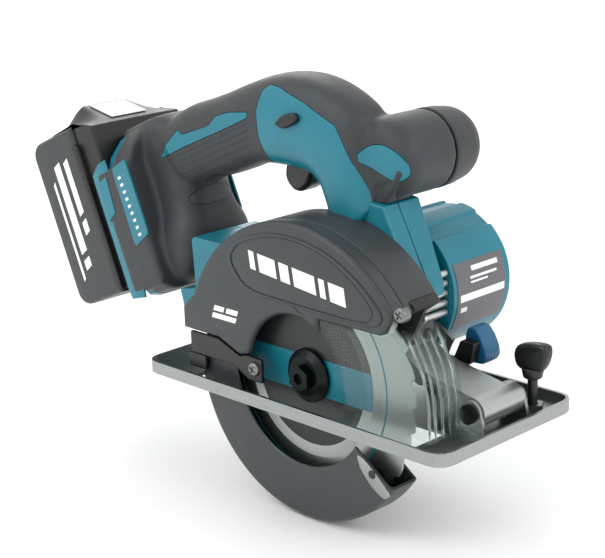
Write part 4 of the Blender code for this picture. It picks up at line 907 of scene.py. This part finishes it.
# The far chest narrows downwards: by this share for each metre below this height, on what lies past this y.
TAPER, TAPER_TOP, TAPER_START = 9, 86 * MM, 5 * MM
CHEST = ((-20, 60), (20, 60), (46, 60.5), (53.9, 63.1), (53.4, 68.8), (36.2, 102.5), (34.1, 106.5), (31.7, 111.2),
         (20, 112.5), (4, 108), (-14, 96), (-26, 82))
TAIL = ((-99, 77.5), (-62, 77.5), (-20, 84), (-20, 60), (-60, 46), (-84, 30), (-98, 28), (-108, 33), (-111, 44),
        (-97, 47))
STRUT = ((10, 108), (30.8, 111.8), (33, 115), (38, 122), (42, 130), (30, 140), (10, 140))


def rim_edges(bm, y, low_x):
    """Edges that lie on the plane at y and forward of low_x."""
    return [e for e in bm.edges if all(abs(v.co.y - y) < MERGE and v.co.x > low_x for v in e.verts)]


def chest(low, high):
    """Half of the faceted front body, with a broad chamfer along its outer front edges."""
    bm = slab_bmesh(in_mm(CHEST), low, high)
    outer = low if abs(low) > abs(high) else high
    bmesh.ops.bevel(bm, geom=rim_edges(bm, outer, 19 * MM), offset=5.5 * MM, segments=1, profile=0.5,
                    affect="EDGES", clamp_overlap=True, material=-1)
    for vert in bm.verts:
        if vert.co.y > TAPER_START:
            vert.co.y *= 1 + (vert.co.z - TAPER_TOP) * TAPER
    return ease(bm, 0.5 * MM, 2, 18)


def tail(low, high):
    """The part of the body that wraps round the case's rear edge, under the column."""
    bm = slab_bmesh(softened(in_mm(TAIL), 1, 0.06), low, high)
    if low < CASE_FAR_Y:
        radius, near, far = CASE_RADIUS + 1.5 * MM, -0.1, CASE_FAR_Y + 0.5 * MM
        round_case = spun([(0, near), (radius, near), (radius, far), (0, far)], BLADE_CENTRE, 96)
        bm = combined(bm, round_case, "DIFFERENCE")
    return ease(bm, 0.8 * MM, 3, 25)


class BuildBody(bpy.types.Operator):
    """Teal body behind the blade case, in a near and a far half, and the dark strut under the front grip"""

    bl_idname = "saw.body"
    bl_label = "Body"

    def execute(self, context):
        for name, made in (("chest_near", chest(-12 * MM, -SEAM)), ("chest_far", chest(SEAM, CHEST_FAR))):
            weighted(piece("body_" + name, made, "teal", "saw_body", name.replace("chest", "body")))
        weighted(piece("body_tail_near", tail(-31 * MM, -SEAM), "teal", "saw_body"))
        weighted(piece("body_tail_far", tail(SEAM, TAIL_FAR), "teal", "saw_body"))
        outline = softened(in_mm(STRUT), 1, 0.1)
        weighted(piece("grip_strut_near", slab_bmesh(outline, -8.5 * MM, -SEAM, 2 * MM), "rubber", "saw_body"))
        weighted(piece("grip_strut_far", slab_bmesh(outline, SEAM, 12 * MM, 0, 2 * MM), "rubber", "saw_body"))
        return {"FINISHED"}


# ---------------------------------------------------------------- front grip


class BuildFrontGrip(bpy.types.Operator):
    """The domed far part of the barrel-shaped front grip"""

    bl_idname = "saw.front_grip"
    bl_label = "Front grip"

    def execute(self, context):
        near, far, radius = GRIP_SEAM_Y + 0.2 * MM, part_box("front_grip_end")[1].y, BARREL_RADIUS
        cap = [(0, near), (radius - 0.7 * MM, near), (radius, GRIP_SEAM_Y + 1 * MM),
               (radius - 0.3 * MM, far - 20 * MM)]
        cap += quarter(radius - 1.2 * MM, far, 15 * MM, -1, 12)[::-1] + [(0, far)]
        made = spun(cap, centre_line("front_grip_end"), 96)
        piece("front_grip_cap", made, "rubber", "saw_body", "front_grip_end", angle=40)
        return {"FINISHED"}


# ---------------------------------------------------------------- battery and its mount


# The battery case from the side: its top, front, back and corner radius, in millimetres up and forward.
SHELL_TOP, SHELL_FRONT, SHELL_BACK, SHELL_CORNER = 104.5, 42, -3, 9
# The glossy front: its half width, its back and front, and the level that its hump rises from, to its crest.
GLOSS_HALF, GLOSS_BACK, GLOSS_FRONT = 34.6 * MM, 43 * MM, 60 * MM
GLOSS_TOP, HUMP_BACK, HUMP_CREST, HUMP_RISE = 104.7 * MM, 20 * MM, 35 * MM, 12.3 * MM
HUMP_PLACES = (20.1, 21, 23, 26, 30, 35, 40, 46, 53, 60)
HUMP_LEVEL, HUMP_SIDE = 15 * MM, 17 * MM
GLOSS_SECTIONS = 36
# Printed bars on the battery's sides: how far up and forward each starts, its length and its width.
BATTERY_BARS = ((14, 9.5, 62, 2.2), (30, 15.5, 56, 6.5), (20, 15.5, 6, 6.5), (52, 26, 34, 5), (40, 26, 8, 5))
FLANGE = ((-6, 49.8), (71, 49.8), (76, 58), (77, 66), (-8, 64))
LONG_PANEL = ((-160.1, 109.7), (-147.8, 117.1), (-129.5, 75.5), (-141.8, 65.4))
SMALL_PANEL = ((-173.1, 99.0), (-166.3, 104.0), (-159.3, 83.2), (-165.6, 76.3))
# The row of marks on the long panel, and one mark's corners round its place, in millimetres.
MARKS, MARK_START, MARK_END = 9, Vector((-154.5, 107)) * MM, Vector((-136.5, 71.5)) * MM
MARK_CORNERS = ((-1.3, 0.2), (1.1, 1.6), (1.9, 0.2), (-0.5, -1.2))


def shell_outline():
    """The battery case from the side, with round corners at its back."""
    centre = SHELL_BACK + SHELL_CORNER
    low = arc((centre, SHELL_CORNER), SHELL_CORNER, 180, 270, 6)[::-1]
    high = arc((centre, SHELL_TOP - SHELL_CORNER), SHELL_CORNER, 90, 180, 6)[::-1]
    back = [(along, forward) for forward, along in low + high]
    return leaned_outline(back + [(SHELL_TOP, SHELL_FRONT), (0, SHELL_FRONT)])


def hump_height(forward, rise):
    """Height up the battery of its upper surface, from how far forward and how much of the hump's rise."""
    low = GLOSS_TOP - max(0, forward - 48 * MM) * 5.2 / 12
    if forward < HUMP_CREST:
        t = (forward - HUMP_BACK) / (HUMP_CREST - HUMP_BACK)
        high = GLOSS_TOP + HUMP_RISE * math.sin(t * math.pi / 2) ** 0.7 if t > 0 else low
    else:
        high = 117 * MM - (forward - HUMP_CREST) * 0.7
    return low + (high - low) * rise


def hump_rise(y):
    """Share of the hump's full height at y from the middle: level, then a smooth slope to nothing."""
    t = min(1.0, max(0.0, (abs(y) - HUMP_LEVEL) / HUMP_SIDE))
    return 1 - t * t * (3 - 2 * t)


def battery_front():
    """The glossy front with its hump, lofted across the battery."""
    rings_made = []
    for i in range(GLOSS_SECTIONS):
        y = -GLOSS_HALF + 2 * GLOSS_HALF * i / (GLOSS_SECTIONS - 1)
        ring = [(2 * MM, GLOSS_BACK), (60 * MM, GLOSS_BACK), (GLOSS_TOP, GLOSS_BACK)]
        ring += [(hump_height(f * MM, hump_rise(y)), f * MM) for f in HUMP_PLACES]
        ring += [(60 * MM, GLOSS_FRONT), (2 * MM, GLOSS_FRONT)]
        rings_made.append([Vector((leaned(a, f)[0], y, leaned(a, f)[1])) for a, f in ring])
    return loft(rings_made)


def side_bars(outlines, y, lift):
    """Thin bars on both faces at y and -y."""
    return merged([bar for outline in outlines for bar in both_sides(outline, y, y + lift)])


def slanted_bar(along, forward, length, width, slant=2.0):
    """A bar's outline on the battery's side: along the lean, with slanted ends."""
    return leaned_outline(((along, forward), (along + slant, forward + width),
                           (along + length + slant, forward + width), (along + length, forward)))


class BuildBattery(bpy.types.Operator):
    """Battery shell, its gloss front with the label hump, side ridges, print and release button"""

    bl_idname = "saw.battery"
    bl_label = "Battery"

    def execute(self, context):
        half = BATTERY_HALF - 0.4 * MM
        shell = slab_bmesh(shell_outline(), -half, half, 3.5 * MM, 3.5 * MM)
        piece("battery_shell", shell, "nylon", "battery", "battery_case")
        front = ease(battery_front(), 0.9 * MM, 3, 35)
        weighted(piece("battery_front", front, "gloss", "battery", "battery_top"))
        ridge = leaned_outline([(2, 38), (2, 44.5)] + [(a, f) for f, a in arc((41.2, 90), 3.3, 0, 180, 8)])
        ridges = both_sides(ridge, half - 3 * MM, half + 0.7 * MM, 0, 1 * MM, 3)
        piece("battery_ridges", merged(ridges), "gloss", "battery")
        bars = side_bars([slanted_bar(*bar) for bar in BATTERY_BARS], half, 0.12 * MM)
        piece("battery_print", bars, "white", "battery")
        weighted(eased_node("battery_label", "paper", 0.15 * MM, 2))
        weighted(eased_node("battery_button", "nylon", 0.6 * MM, 2))
        return {"FINISHED"}


class BuildMount(bpy.types.Operator):
    """The battery mount's teal rim, flanges and side panels, and the row of white marks on them"""

    bl_idname = "saw.mount"
    bl_label = "Battery mount"

    def execute(self, context):
        rim = leaned_slab(shoulder_outline(0.3 * MM), 60.8 * MM, 67 * MM, 0.6 * MM, 0, SHOULDER_TILT)
        piece("mount_rim", rim, "teal", "saw_body", "battery_mount")
        flange = softened(leaned_outline(FLANGE), 1, 0.06)
        plates = both_sides(flange, 35.5 * MM, 36.9 * MM, 0.4 * MM, 0.4 * MM, 2)
        piece("mount_flanges", merged(plates), "teal", "saw_body")
        panels = [softened(in_mm(panel), 1, 0.05) for panel in (LONG_PANEL, SMALL_PANEL)]
        piece("mount_panels", side_bars(panels, 36.6 * MM, 1.1 * MM), "teal", "saw_body")
        marks = []
        for i in range(MARKS):
            spot = MARK_START + (MARK_END - MARK_START) * (i + 0.5) / MARKS
            marks.append([(spot.x + x * MM, spot.y + z * MM) for x, z in MARK_CORNERS])
        piece("mount_marks", side_bars(marks, 37.6 * MM, 0.2 * MM), "white", "saw_body")
        return {"FINISHED"}


# ---------------------------------------------------------------- blade case, guard and window


COVER_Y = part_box("case_bracket")[0].y
CASE_SPLIT_Y = -37.9 * MM
PANEL = ((-44.6, 68.3), (-50.8, 58.8), (-37.4, 43.2), (6.2, 41.8), (59.9, 41.2), (66.1, 48.8), (49.6, 63.7),
         (29.1, 74.6), (7.7, 79.4), (-14.5, 79.4), (-34, 73.8))


def from_axis(*points):
    """Points given in millimetres from the blade's axis, as points in XZ."""
    return [(BLADE_AXIS.x + x * MM, BLADE_AXIS.z + z * MM) for x, z in points]


def case_arc(inset=0.0, steps=60):
    """The case's curved upper edge, from its front end round to its rear one."""
    return arc(BLADE_CENTRE, CASE_RADIUS - inset, CASE_START, CASE_END, steps)


def rear_edge(inset=0.0):
    """The case's upright rear edge, from the top down."""
    return [(CASE_REAR_X + inset, BLADE_AXIS.z + REAR_TOP), (CASE_REAR_X + inset, BLADE_AXIS.z + REAR_LOW)]


def cover_outline():
    """The near cover: round above, with a cut-out round the blade's flange below."""
    low = from_axis((-60, 11), (-43, 4.5), (-36, 6.5)) + arc(BLADE_CENTRE, 36 * MM, 166, 60, 24)
    return case_arc() + rear_edge() + low + from_axis((17.7, 37.5), (61.2, 37.8), (65, 39.5))


def case_band(wall=2 * MM):
    """The case's curved wall over the blade, open below."""
    return case_arc() + rear_edge() + rear_edge(wall)[::-1] + case_arc(wall)[::-1]


# Printed bars on the panel, as (start, width), and on the cover below it, as (start, height, width).
PANEL_BARS = ((-31, 4), (-24, 13), (-8, 7), (2, 16), (21, 4), (28, 11))
SMALL_BARS = ((-61, 30, 8), (-51, 30, 9), (-62.5, 25.6, 19))
BAR_TOP, BAR_LOW, BAR_FALL, BAR_SLANT = 63.5, 53.5, 0.115, 1.6


def panel_bar(x, width):
    """One of the bars in a row that falls forwards."""
    left, right = x * BAR_FALL, (x + width) * BAR_FALL
    return from_axis((x, BAR_TOP - left), (x + width, BAR_TOP - right),
                     (x + width + BAR_SLANT, BAR_LOW - right), (x + BAR_SLANT, BAR_LOW - left))


def case_print():
    bars = [slab_bmesh(panel_bar(*bar), COVER_Y - 1.12 * MM, COVER_Y - 0.9 * MM) for bar in PANEL_BARS]
    for x, z, width in SMALL_BARS:
        outline = from_axis((x, z), (x + width, z), (x + width - 1.2, z - 3), (x - 1.2, z - 3))
        bars.append(slab_bmesh(outline, COVER_Y - 0.1 * MM, COVER_Y + 0.1 * MM))
    return merged(bars)


def case_back():
    """The far half's flat back, with a hole for the spindle's boss."""
    low = from_axis((-60, 5), (-22, -12), (-12, -14.3), (12, -14.3), (24, -8), (60, 30))
    outline = case_arc(1.5 * MM, 40) + from_axis((-87, 24), (-87, 11)) + low
    back = slab_bmesh(outline, CASE_FAR_Y - 11 * MM, CASE_FAR_Y - 8.5 * MM)
    bore = spun([(0, -0.1), (15 * MM, -0.1), (15 * MM, 0.05), (0, 0.05)], BLADE_CENTRE)
    return combined(back, bore, "DIFFERENCE")


def panel_outline(share):
    return softened(shrunk(from_axis(*PANEL), share), 2, 0.2)


class BuildCase(bpy.types.Operator):
    """Blade case: the near cover with its raised panel and print, the far half, bracket, rear tab and screws"""

    bl_idname = "saw.case"
    bl_label = "Blade case"

    def execute(self, context):
        face = slab_bmesh(cover_outline(), COVER_Y, COVER_Y + 3.2 * MM, 2.6 * MM, 0, 5)
        piece("case_cover_face", face, "nylon", "saw_body", "blade_cover", angle=40)
        rim = slab_bmesh(case_band(), COVER_Y + 2.5 * MM, CASE_SPLIT_Y, 0, 0.4 * MM, 2)
        piece("case_cover_rim", rim, "nylon", "saw_body", angle=40)
        band = slab_bmesh(case_band(), CASE_SPLIT_Y + 0.5 * MM, CASE_FAR_Y, 0.5 * MM, 1.2 * MM, 3)
        piece("case_far_rim", band, "nylon", "saw_body", angle=40)
        piece("case_back", case_back(), "nylon", "saw_body", "blade_case")
        edge = softened(from_axis(*PANEL), 2, 0.2)
        border = slab_bmesh(edge, COVER_Y - 1.1 * MM, COVER_Y + 1 * MM, 0.9 * MM, 0, 4)
        groove = slab_bmesh(panel_outline(0.93), COVER_Y - 3 * MM, COVER_Y - 0.55 * MM)
        piece("case_panel", combined(border, groove, "DIFFERENCE"), "nylon", "saw_body", angle=40)
        field = slab_bmesh(panel_outline(0.9), COVER_Y - 0.95 * MM, COVER_Y + 1 * MM, 0.35 * MM, 0, 3)
        piece("case_panel_field", field, "nylon", "saw_body", angle=40)
        piece("case_print", case_print(), "white", "saw_body")
        eased_node("case_bracket", "black", 0.7 * MM)
        eased_node("rear_tab", "black", 0.5 * MM)
        cross_screw("bracket_screw", 4 * MM, 2 * MM)
        cross_screw("window_screw", 4 * MM, 5 * MM)
        return {"FINISHED"}


def shrunk(outline, share):
    """An outline drawn in towards its middle."""
    x = sum(p[0] for p in outline) / len(outline)
    z = sum(p[1] for p in outline) / len(outline)
    return [(x + (p[0] - x) * share, z + (p[1] - z) * share) for p in outline]


def part_spun(profile, start, end, steps):
    """A closed (radius, y) section turned part of the way round the blade's axis, in degrees from +X up."""
    bm = bmesh.new()
    verts = [bm.verts.new((r, y, 0)) for r, y in profile]
    face = bm.faces.new(verts)
    bmesh.ops.spin(bm, geom=[face] + face.edges[:] + verts, cent=(0, 0, 0), axis=(0, -1, 0),
                   angle=math.radians(end - start), steps=steps)
    open_edges = [e for e in bm.edges if len(e.link_faces) == 1]
    if open_edges:
        bmesh.ops.contextual_create(bm, geom=open_edges)
    turn = Matrix.Rotation(math.radians(start), 3, (0, -1, 0))
    bmesh.ops.rotate(bm, cent=(0, 0, 0), matrix=turn, verts=bm.verts)
    bmesh.ops.recalc_face_normals(bm, faces=bm.faces)
    bmesh.ops.translate(bm, vec=(BLADE_AXIS.x, 0, BLADE_AXIS.z), verts=bm.verts)
    return bm


MARKER = ((41.5, -12.8), (47, -14.6), (55.5, -20.8), (62.8, -27.3), (64.4, -31), (60, -33.6), (50.4, -27.6),
          (43.5, -19.8))


RIVET_CENTRE, RIVET_RADIUS = (52.5 * MM, -21.5 * MM), 2.4 * MM
GUARD_RADIUS, GUARD_WALL = 80 * MM, 1.5 * MM
GUARD_LIP, GUARD_HUB = 49 * MM, 16 * MM
GUARD_ROUND = 3.2 * MM
GUARD_START, GUARD_END = -185, -35


def guard_section(near, far):
    """The guard's wall cut along a radius, as (radius, y): near face, rounded rim, then far face to its hub."""
    outer, wall, lip = GUARD_RADIUS, GUARD_WALL, GUARD_LIP + 0.5 * MM
    section = [(GUARD_LIP, near + 0.4 * MM), (lip, near)] + quarter(outer, near, GUARD_ROUND, 1)
    section += quarter(outer, far, 2 * MM, -1)[::-1] + [(GUARD_HUB, far), (GUARD_HUB, far - wall)]
    section += [(outer - wall, far - wall), (outer - wall, near + GUARD_ROUND)]
    section += [(outer - GUARD_ROUND, near + wall)]
    return section + [(lip, near + wall), (GUARD_LIP, near + wall - 0.4 * MM)]


class BuildGuard(bpy.types.Operator):
    """The moving lower guard with its rounded rim, and the pale marker plate"""

    bl_idname = "saw.guard"
    bl_label = "Lower guard"

    def execute(self, context):
        near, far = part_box("lower_guard")[0].y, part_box("lower_guard")[1].y
        skin = part_spun(guard_section(near, far), GUARD_START, GUARD_END, 90)
        piece("guard_skin", skin, "guard", "moving_guard", "lower_guard", angle=35)
        plate = slab_bmesh(softened(in_mm(MARKER), 2, 0.2), near - 0.5 * MM, near + 0.4 * MM, 0.3 * MM, 0, 3)
        piece("marker_plate", plate, "sole", "moving_guard", "guard_marker")
        rivet = slab_bmesh(arc(RIVET_CENTRE, RIVET_RADIUS, 0, 345, 23), near - 0.9 * MM, near, 0.3 * MM)
        piece("marker_rivet", rivet, "black", "moving_guard")
        return {"FINISHED"}


class BuildBlade(bpy.types.Operator):
    """The blade, its flanges and bolt"""

    bl_idname = "saw.blade"
    bl_label = "Blade"

    def execute(self, context):
        paint("saw_blade", "blade")
        eased_node("outer_flange", "oxide", 0.5 * MM)
        eased_node("blade_bolt", "oxide", 0.35 * MM)
        return {"FINISHED"}


WINDOW_RIBS = (-44, -39.5, -34, -28, -22)
RIB_FOOT, RIB_POINTS = 6 * MM, 15
FRONT_BLOCK = ((56, 63), (59, 70.5), (69, 72.5), (72.5, 68.5), (61, 60.5))


class BuildWindow(bpy.types.Operator):
    """The clear shield before the blade, with the stiffening ribs moulded on its curved front"""

    bl_idname = "saw.window"
    bl_label = "Clear shield"

    def execute(self, context):
        eased_node("clear_window", "clear", 0.35 * MM, 2)
        source = cad_copy("clear_window")
        tree = BVHTree.FromBMesh(source)
        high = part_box("clear_window")[1]
        ribs = []
        for y in WINDOW_RIBS:
            path = []
            for i in range(RIB_POINTS):
                z = RIB_FOOT + (high.z - 9 * MM) * i / (RIB_POINTS - 1)
                hit = tree.ray_cast(Vector((high.x + 20 * MM, y * MM, z)), Vector((-1, 0, 0)))[0]
                if hit is not None:
                    path.append(hit)
            ribs.append(tube(path, 0.7 * MM))
        source.free()
        piece("window_ribs", merged(ribs), "rib", "saw_body")
        block = slab_bmesh(in_mm(FRONT_BLOCK), -33 * MM, -13 * MM, 1 * MM, 1 * MM, 3)
        piece("case_front_block", block, "black", "saw_body")
        return {"FINISHED"}


# ---------------------------------------------------------------- motor


FIN_RODS, FIN_RADIUS, FIN_START = 5, 2.1 * MM, 1 * MM
# The flats over the motor's top: the angle each starts at, and how far it lies below the housing's radius.
FLATS = ((34, 0.2), (51, 1.7), (68, 0.3), (85, 1.8), (102, 0.4), (119, 1.7), (136, 0.3))
FLAT_TURNS = (0.5, 5, 11, 15.5)
ROUND_START, ROUND_END = 158, 390


def motor_outline():
    """The housing seen along its axis: round below, with stepped flats over the top."""
    points = arc(MOTOR_CENTRE, MOTOR_RADIUS, ROUND_START, ROUND_END, 48)
    for start, drop in FLATS:
        for turn in FLAT_TURNS:
            points += arc(MOTOR_CENTRE, MOTOR_RADIUS - drop * MM, start + turn, start + turn, 1)[:1]
    return points


def round_motor(lift, start, end, steps):
    """A thin skin round part of the motor, seen along its axis."""
    outer = arc(MOTOR_CENTRE, MOTOR_RADIUS + lift, start, end, steps)
    return outer + arc(MOTOR_CENTRE, MOTOR_RADIUS - 1 * MM, end, start, steps)


# Printed bars on the motor's label: where each starts round the axis, its width in degrees, its ends across.
MOTOR_BARS = ((-6, 6, 5, 42), (17, 4, 16, 38), (11, 2, 14, 36), (7.5, 1.5, 14, 28), (-15, 4, 6, 11))


class BuildMotor(bpy.types.Operator):
    """Motor housing with stepped flats, its printed label, and the cooling fins"""

    bl_idname = "saw.motor"
    bl_label = "Motor"

    def execute(self, context):
        near, far = MOTOR[0].y, MOTOR[1].y
        shell = slab_bmesh(motor_outline(), near, far, 0.6 * MM, 2.5 * MM, 4)
        weighted(piece("motor_shell", shell, "teal", "saw_body", "motor_housing", angle=24))
        label = slab_bmesh(round_motor(0.35 * MM, -30, 26, 18), near + 3 * MM, far - 6 * MM)
        piece("motor_label_plate", label, "label", "saw_body", "motor_label")
        bars = [slab_bmesh(round_motor(0.5 * MM, start, start + width, 4), near + low * MM, near + high * MM)
                for start, width, low, high in MOTOR_BARS]
        piece("motor_print", merged(bars), "white", "saw_body")
        rods = []
        low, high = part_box("cooling_fins")
        for i in range(FIN_RODS):
            z = low.z + (high.z - low.z) * (i + 0.5) / FIN_RODS
            profile = [(0, FIN_START)] + quarter(FIN_RADIUS, FIN_START, 1.5 * MM, 1, 4)
            profile += [(FIN_RADIUS, high.y), (0, high.y)]
            rods.append(spun(profile, ((low.x + high.x) / 2, z), 24))
        piece("fin_rods", merged(rods), "cast", "saw_body", "cooling_fins")
        return {"FINISHED"}


# ---------------------------------------------------------------- sole, arm, knob and lever


PAD = ((57, 27), (61, 23), (69, 23.5), (71.5, 27), (71, 32), (68, 38), (64, 42.5), (59, 42.5), (57, 38))
PAD_RIBS = 4
PAD_RIB_PATH = ((64.6, 41.6), (68.4, 36.8), (70.9, 31), (71.3, 26))
PADDLE = ((-6, 24), (5, 24), (9.5, 29), (11.5, 37), (9.5, 41.5), (-7, 39), (-11, 34), (-10, 27))
PADDLE_HALF, PADDLE_ROUND = 3.8 * MM, 2.6 * MM


def build_pad():
    """The depth lever's thumb pad and the ribs on it."""
    low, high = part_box("lever_pad")
    pad = slab_bmesh(softened(in_mm(PAD), 1, 0.12), low.y, high.y, 1.2 * MM, 1.2 * MM)
    piece("lever_pad_body", pad, "pad", "depth_clamp", "lever_pad")
    ribs = []
    for i in range(PAD_RIBS):
        y = low.y + (high.y - low.y) * (i + 1) / (PAD_RIBS + 1)
        ribs.append(tube([Vector((x * MM, y, z * MM)) for x, z in PAD_RIB_PATH], 0.5 * MM))
    piece("lever_pad_ribs", merged(ribs), "pad", "depth_clamp")


def build_knob():
    """The wing screw: a rounded paddle on a collar and a stem."""
    knob = middle("wing_screw")
    outline = softened([(knob.x + across * MM, up * MM) for across, up in PADDLE], 2)
    paddle = slab_bmesh(outline, knob.y - PADDLE_HALF, knob.y + PADDLE_HALF, PADDLE_ROUND, PADDLE_ROUND)
    piece("knob_paddle", paddle, "black", "rule_clamp", "wing_screw", angle=50)
    collar = cone((knob.x, knob.y, 23.5 * MM), 5 * MM, 6.2 * MM, 6 * MM, 40)
    piece("knob_collar", ease(collar, 1.2 * MM, 3, 40), "black", "rule_clamp")
    piece("knob_stem", cone((knob.x, knob.y, 13 * MM), 2.7 * MM, 2.7 * MM, 20 * MM, 32), "black", "rule_clamp")


class BuildSole(bpy.types.Operator):
    """Pressed sole plate, the front arm, depth guide and lever, and the wing screw"""

    bl_idname = "saw.sole"
    bl_label = "Sole and front arm"

    def execute(self, context):
        metal = context.scene.saw_sizes.metal_edge
        edge = context.scene.saw_sizes.edge
        eased_node("sole_plate", "sole", metal, 3)
        eased_node("front_arm", "arm", 1.2 * MM, 3)
        for side in ("near", "far"):
            eased_node(f"arm_screw_{side}", "oxide", 0.4 * MM, 2)
        eased_node("gear_housing", "cast", metal, 2)
        eased_node("depth_guide", "zinc", 0.3 * MM, 2)
        eased_node("depth_lever", "black", edge, 3)
        build_pad()
        build_knob()
        return {"FINISHED"}


TRIGGER = ((-46, 117), (-44, 126), (-18.5, 128), (-20.5, 124), (-25.8, 118), (-27.6, 112.6), (-34.1, 108.2),
           (-39.6, 108.5), (-44.3, 112.5))
LOCK_KNOB = ((-37.5, 148.5), (-30, 154.5), (-21, 155.6), (-19.6, 151.2), (-30.5, 145.8))


class BuildBoard(bpy.types.Operator):
    """The potted circuit board inside the rear column"""

    bl_idname = "saw.board"
    bl_label = "Circuit board"

    def execute(self, context):
        outline = leaned_outline(((16, 86), (16, 98), (60, 98), (60, 86)))
        board = slab_bmesh(outline, -11 * MM, 11 * MM, 1 * MM, 1 * MM)
        piece("potted_board", board, "board", "saw_body", "controller_board")
        return {"FINISHED"}


class BuildTrigger(bpy.types.Operator):
    """Trigger and lock-off button"""

    bl_idname = "saw.trigger"
    bl_label = "Trigger and lock-off"

    def execute(self, context):
        low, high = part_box("trigger")
        lever = slab_bmesh(softened(in_mm(TRIGGER), 2, 0.2), low.y, high.y, 3 * MM, 3 * MM)
        piece("trigger_lever", lever, "black", "trigger", "trigger", angle=50)
        low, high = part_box("lock_off_button")
        knob = slab_bmesh(softened(in_mm(LOCK_KNOB), 2, 0.2), low.y, high.y, 1.5 * MM, 1.5 * MM)
        piece("lock_knob", knob, "black", "lock_button", "lock_off_button", angle=50)
        return {"FINISHED"}


# ---------------------------------------------------------------- stage


CAMERA_AIM = Vector((-17.0, -23.7, 65.9)) * MM
CAMERA_AZIMUTH = math.radians(45.503)
CAMERA_ELEVATION = math.radians(16.479)
CAMERA_ROLL = math.radians(-1.757)
CAMERA_LENS = 96.18


def camera(distance):
    back = Vector((math.sin(CAMERA_AZIMUTH) * math.cos(CAMERA_ELEVATION),
                   -math.cos(CAMERA_AZIMUTH) * math.cos(CAMERA_ELEVATION), math.sin(CAMERA_ELEVATION)))
    right = Vector((math.cos(CAMERA_AZIMUTH), math.sin(CAMERA_AZIMUTH), 0))
    turn = Matrix((right, back.cross(right), back)).transposed() @ Matrix.Rotation(CAMERA_ROLL, 3, "Z")
    data = bpy.data.cameras.new("camera")
    data.sensor_width = 36
    data.lens = CAMERA_LENS
    data.clip_start = 0.05
    obj = bpy.data.objects.new("camera", data)
    bpy.context.scene.collection.objects.link(obj)
    obj.matrix_world = Matrix.Translation(CAMERA_AIM + back * distance) @ turn.to_4x4()
    bpy.context.scene.camera = obj


def soft_light(name, place, size, power, colour=(1, 1, 1)):
    data = bpy.data.lights.new(name, "AREA")
    data.shape = "RECTANGLE"
    data.size, data.size_y = size
    data.energy = power
    data.color = colour
    obj = bpy.data.objects.new(name, data)
    bpy.context.scene.collection.objects.link(obj)
    obj.location = place
    obj.rotation_euler = (CAMERA_AIM - Vector(place)).to_track_quat("-Z", "Y").to_euler()


def world_light(strength):
    world = bpy.data.worlds.new("studio")
    bpy.context.scene.world = world
    world.use_nodes = True
    back = world.node_tree.nodes["Background"]
    back.inputs["Color"].default_value = (1, 1, 1, 1)
    back.inputs["Strength"].default_value = strength


def floor():
    # Pale matt studio sweep.
    made, tree, shader, place = new_material("pale matt sweep", Roughness=0.9)
    shader.inputs["Base Color"].default_value = linear("#FBFBFB")
    bm = bmesh.new()
    bmesh.ops.create_grid(bm, x_segments=1, y_segments=1, size=6)
    low = min(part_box("lower_guard")[0].z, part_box("sole_plate")[0].z)
    bmesh.ops.translate(bm, vec=(0, 0, low - 1 * MM), verts=bm.verts)
    obj = scratch(bm, "floor")
    obj.data.materials.append(made)


class BuildStage(bpy.types.Operator):
    """Camera, floor and soft studio light"""

    bl_idname = "saw.stage"
    bl_label = "Stage"

    def execute(self, context):
        context.scene.view_settings.view_transform = "Standard"
        camera(context.scene.saw_sizes.camera_distance)
        floor()
        world_light(1.0)
        soft_light("key", (-0.5, -1.3, 1.2), (0.9, 0.9), 9)
        soft_light("rim", (-0.9, 0.7, 0.9), (0.5, 1.2), 5)
        soft_light("side", (1.3, 0.2, 0.8), (0.6, 1.0), 5)
        return {"FINISHED"}


class BuildKept(bpy.types.Operator):
    """Pieces that are the frame's own, in their finished materials"""

    bl_idname = "saw.kept"
    bl_label = "Frame pieces"

    painted = {
        "bearing": ("spindle_bearing", "motor_bearing_front", "motor_bearing_rear", "spindle", "rotor_shaft"),
        "spring": ("guard_spring",),
        "oxide": ("hinge_pin", "spindle_gear", "idler_gear", "idler_shaft", "inner_flange"),
        "zinc": ("clamp_bolt", "clamp_nut", "rotor_core"),
        "copper": ("stator",),
        "black": ("switch_unit", "fan", "motor_mount", "bearing_retainer", "motor_end_cap"),
        "cast": ("gear_cover",),
    }

    def execute(self, context):
        for look, nodes in self.painted.items():
            for node in nodes:
                paint(node, look)
        return {"FINISHED"}


class SawPanel(bpy.types.Panel):
    """Builds the saw's pieces one by one."""

    bl_label = "Circular saw"
    bl_idname = "SAW_PT_panel"
    bl_space_type = "VIEW_3D"
    bl_region_type = "UI"
    bl_category = "Saw"

    def draw(self, context):
        for group in (context.scene.saw_colours, context.scene.saw_sizes):
            for name in group.__annotations__:
                self.layout.prop(group, name)
        for operator in OPERATORS:
            self.layout.operator(operator.bl_idname)


OPERATORS = (BuildStage, BuildHandle, BuildBoard, BuildTrigger, BuildBody, BuildFrontGrip, BuildBattery,
             BuildMount, BuildCase, BuildGuard, BuildBlade, BuildWindow, BuildMotor, BuildSole, BuildKept)
GROUPS = (SawColours, SawSizes)


def register():
    for made in (*GROUPS, *OPERATORS, SawPanel):
        bpy.utils.register_class(made)
    bpy.types.Scene.saw_colours = PointerProperty(type=SawColours)
    bpy.types.Scene.saw_sizes = PointerProperty(type=SawSizes)


def unregister():
    del bpy.types.Scene.saw_colours
    del bpy.types.Scene.saw_sizes
    for made in reversed((*GROUPS, *OPERATORS, SawPanel)):
        bpy.utils.unregister_class(made)


def main():
    register()
    palette()
    for operator in OPERATORS:
        getattr(bpy.ops.saw, operator.bl_idname.split(".")[1])()


if __name__ == "__main__":
    main()
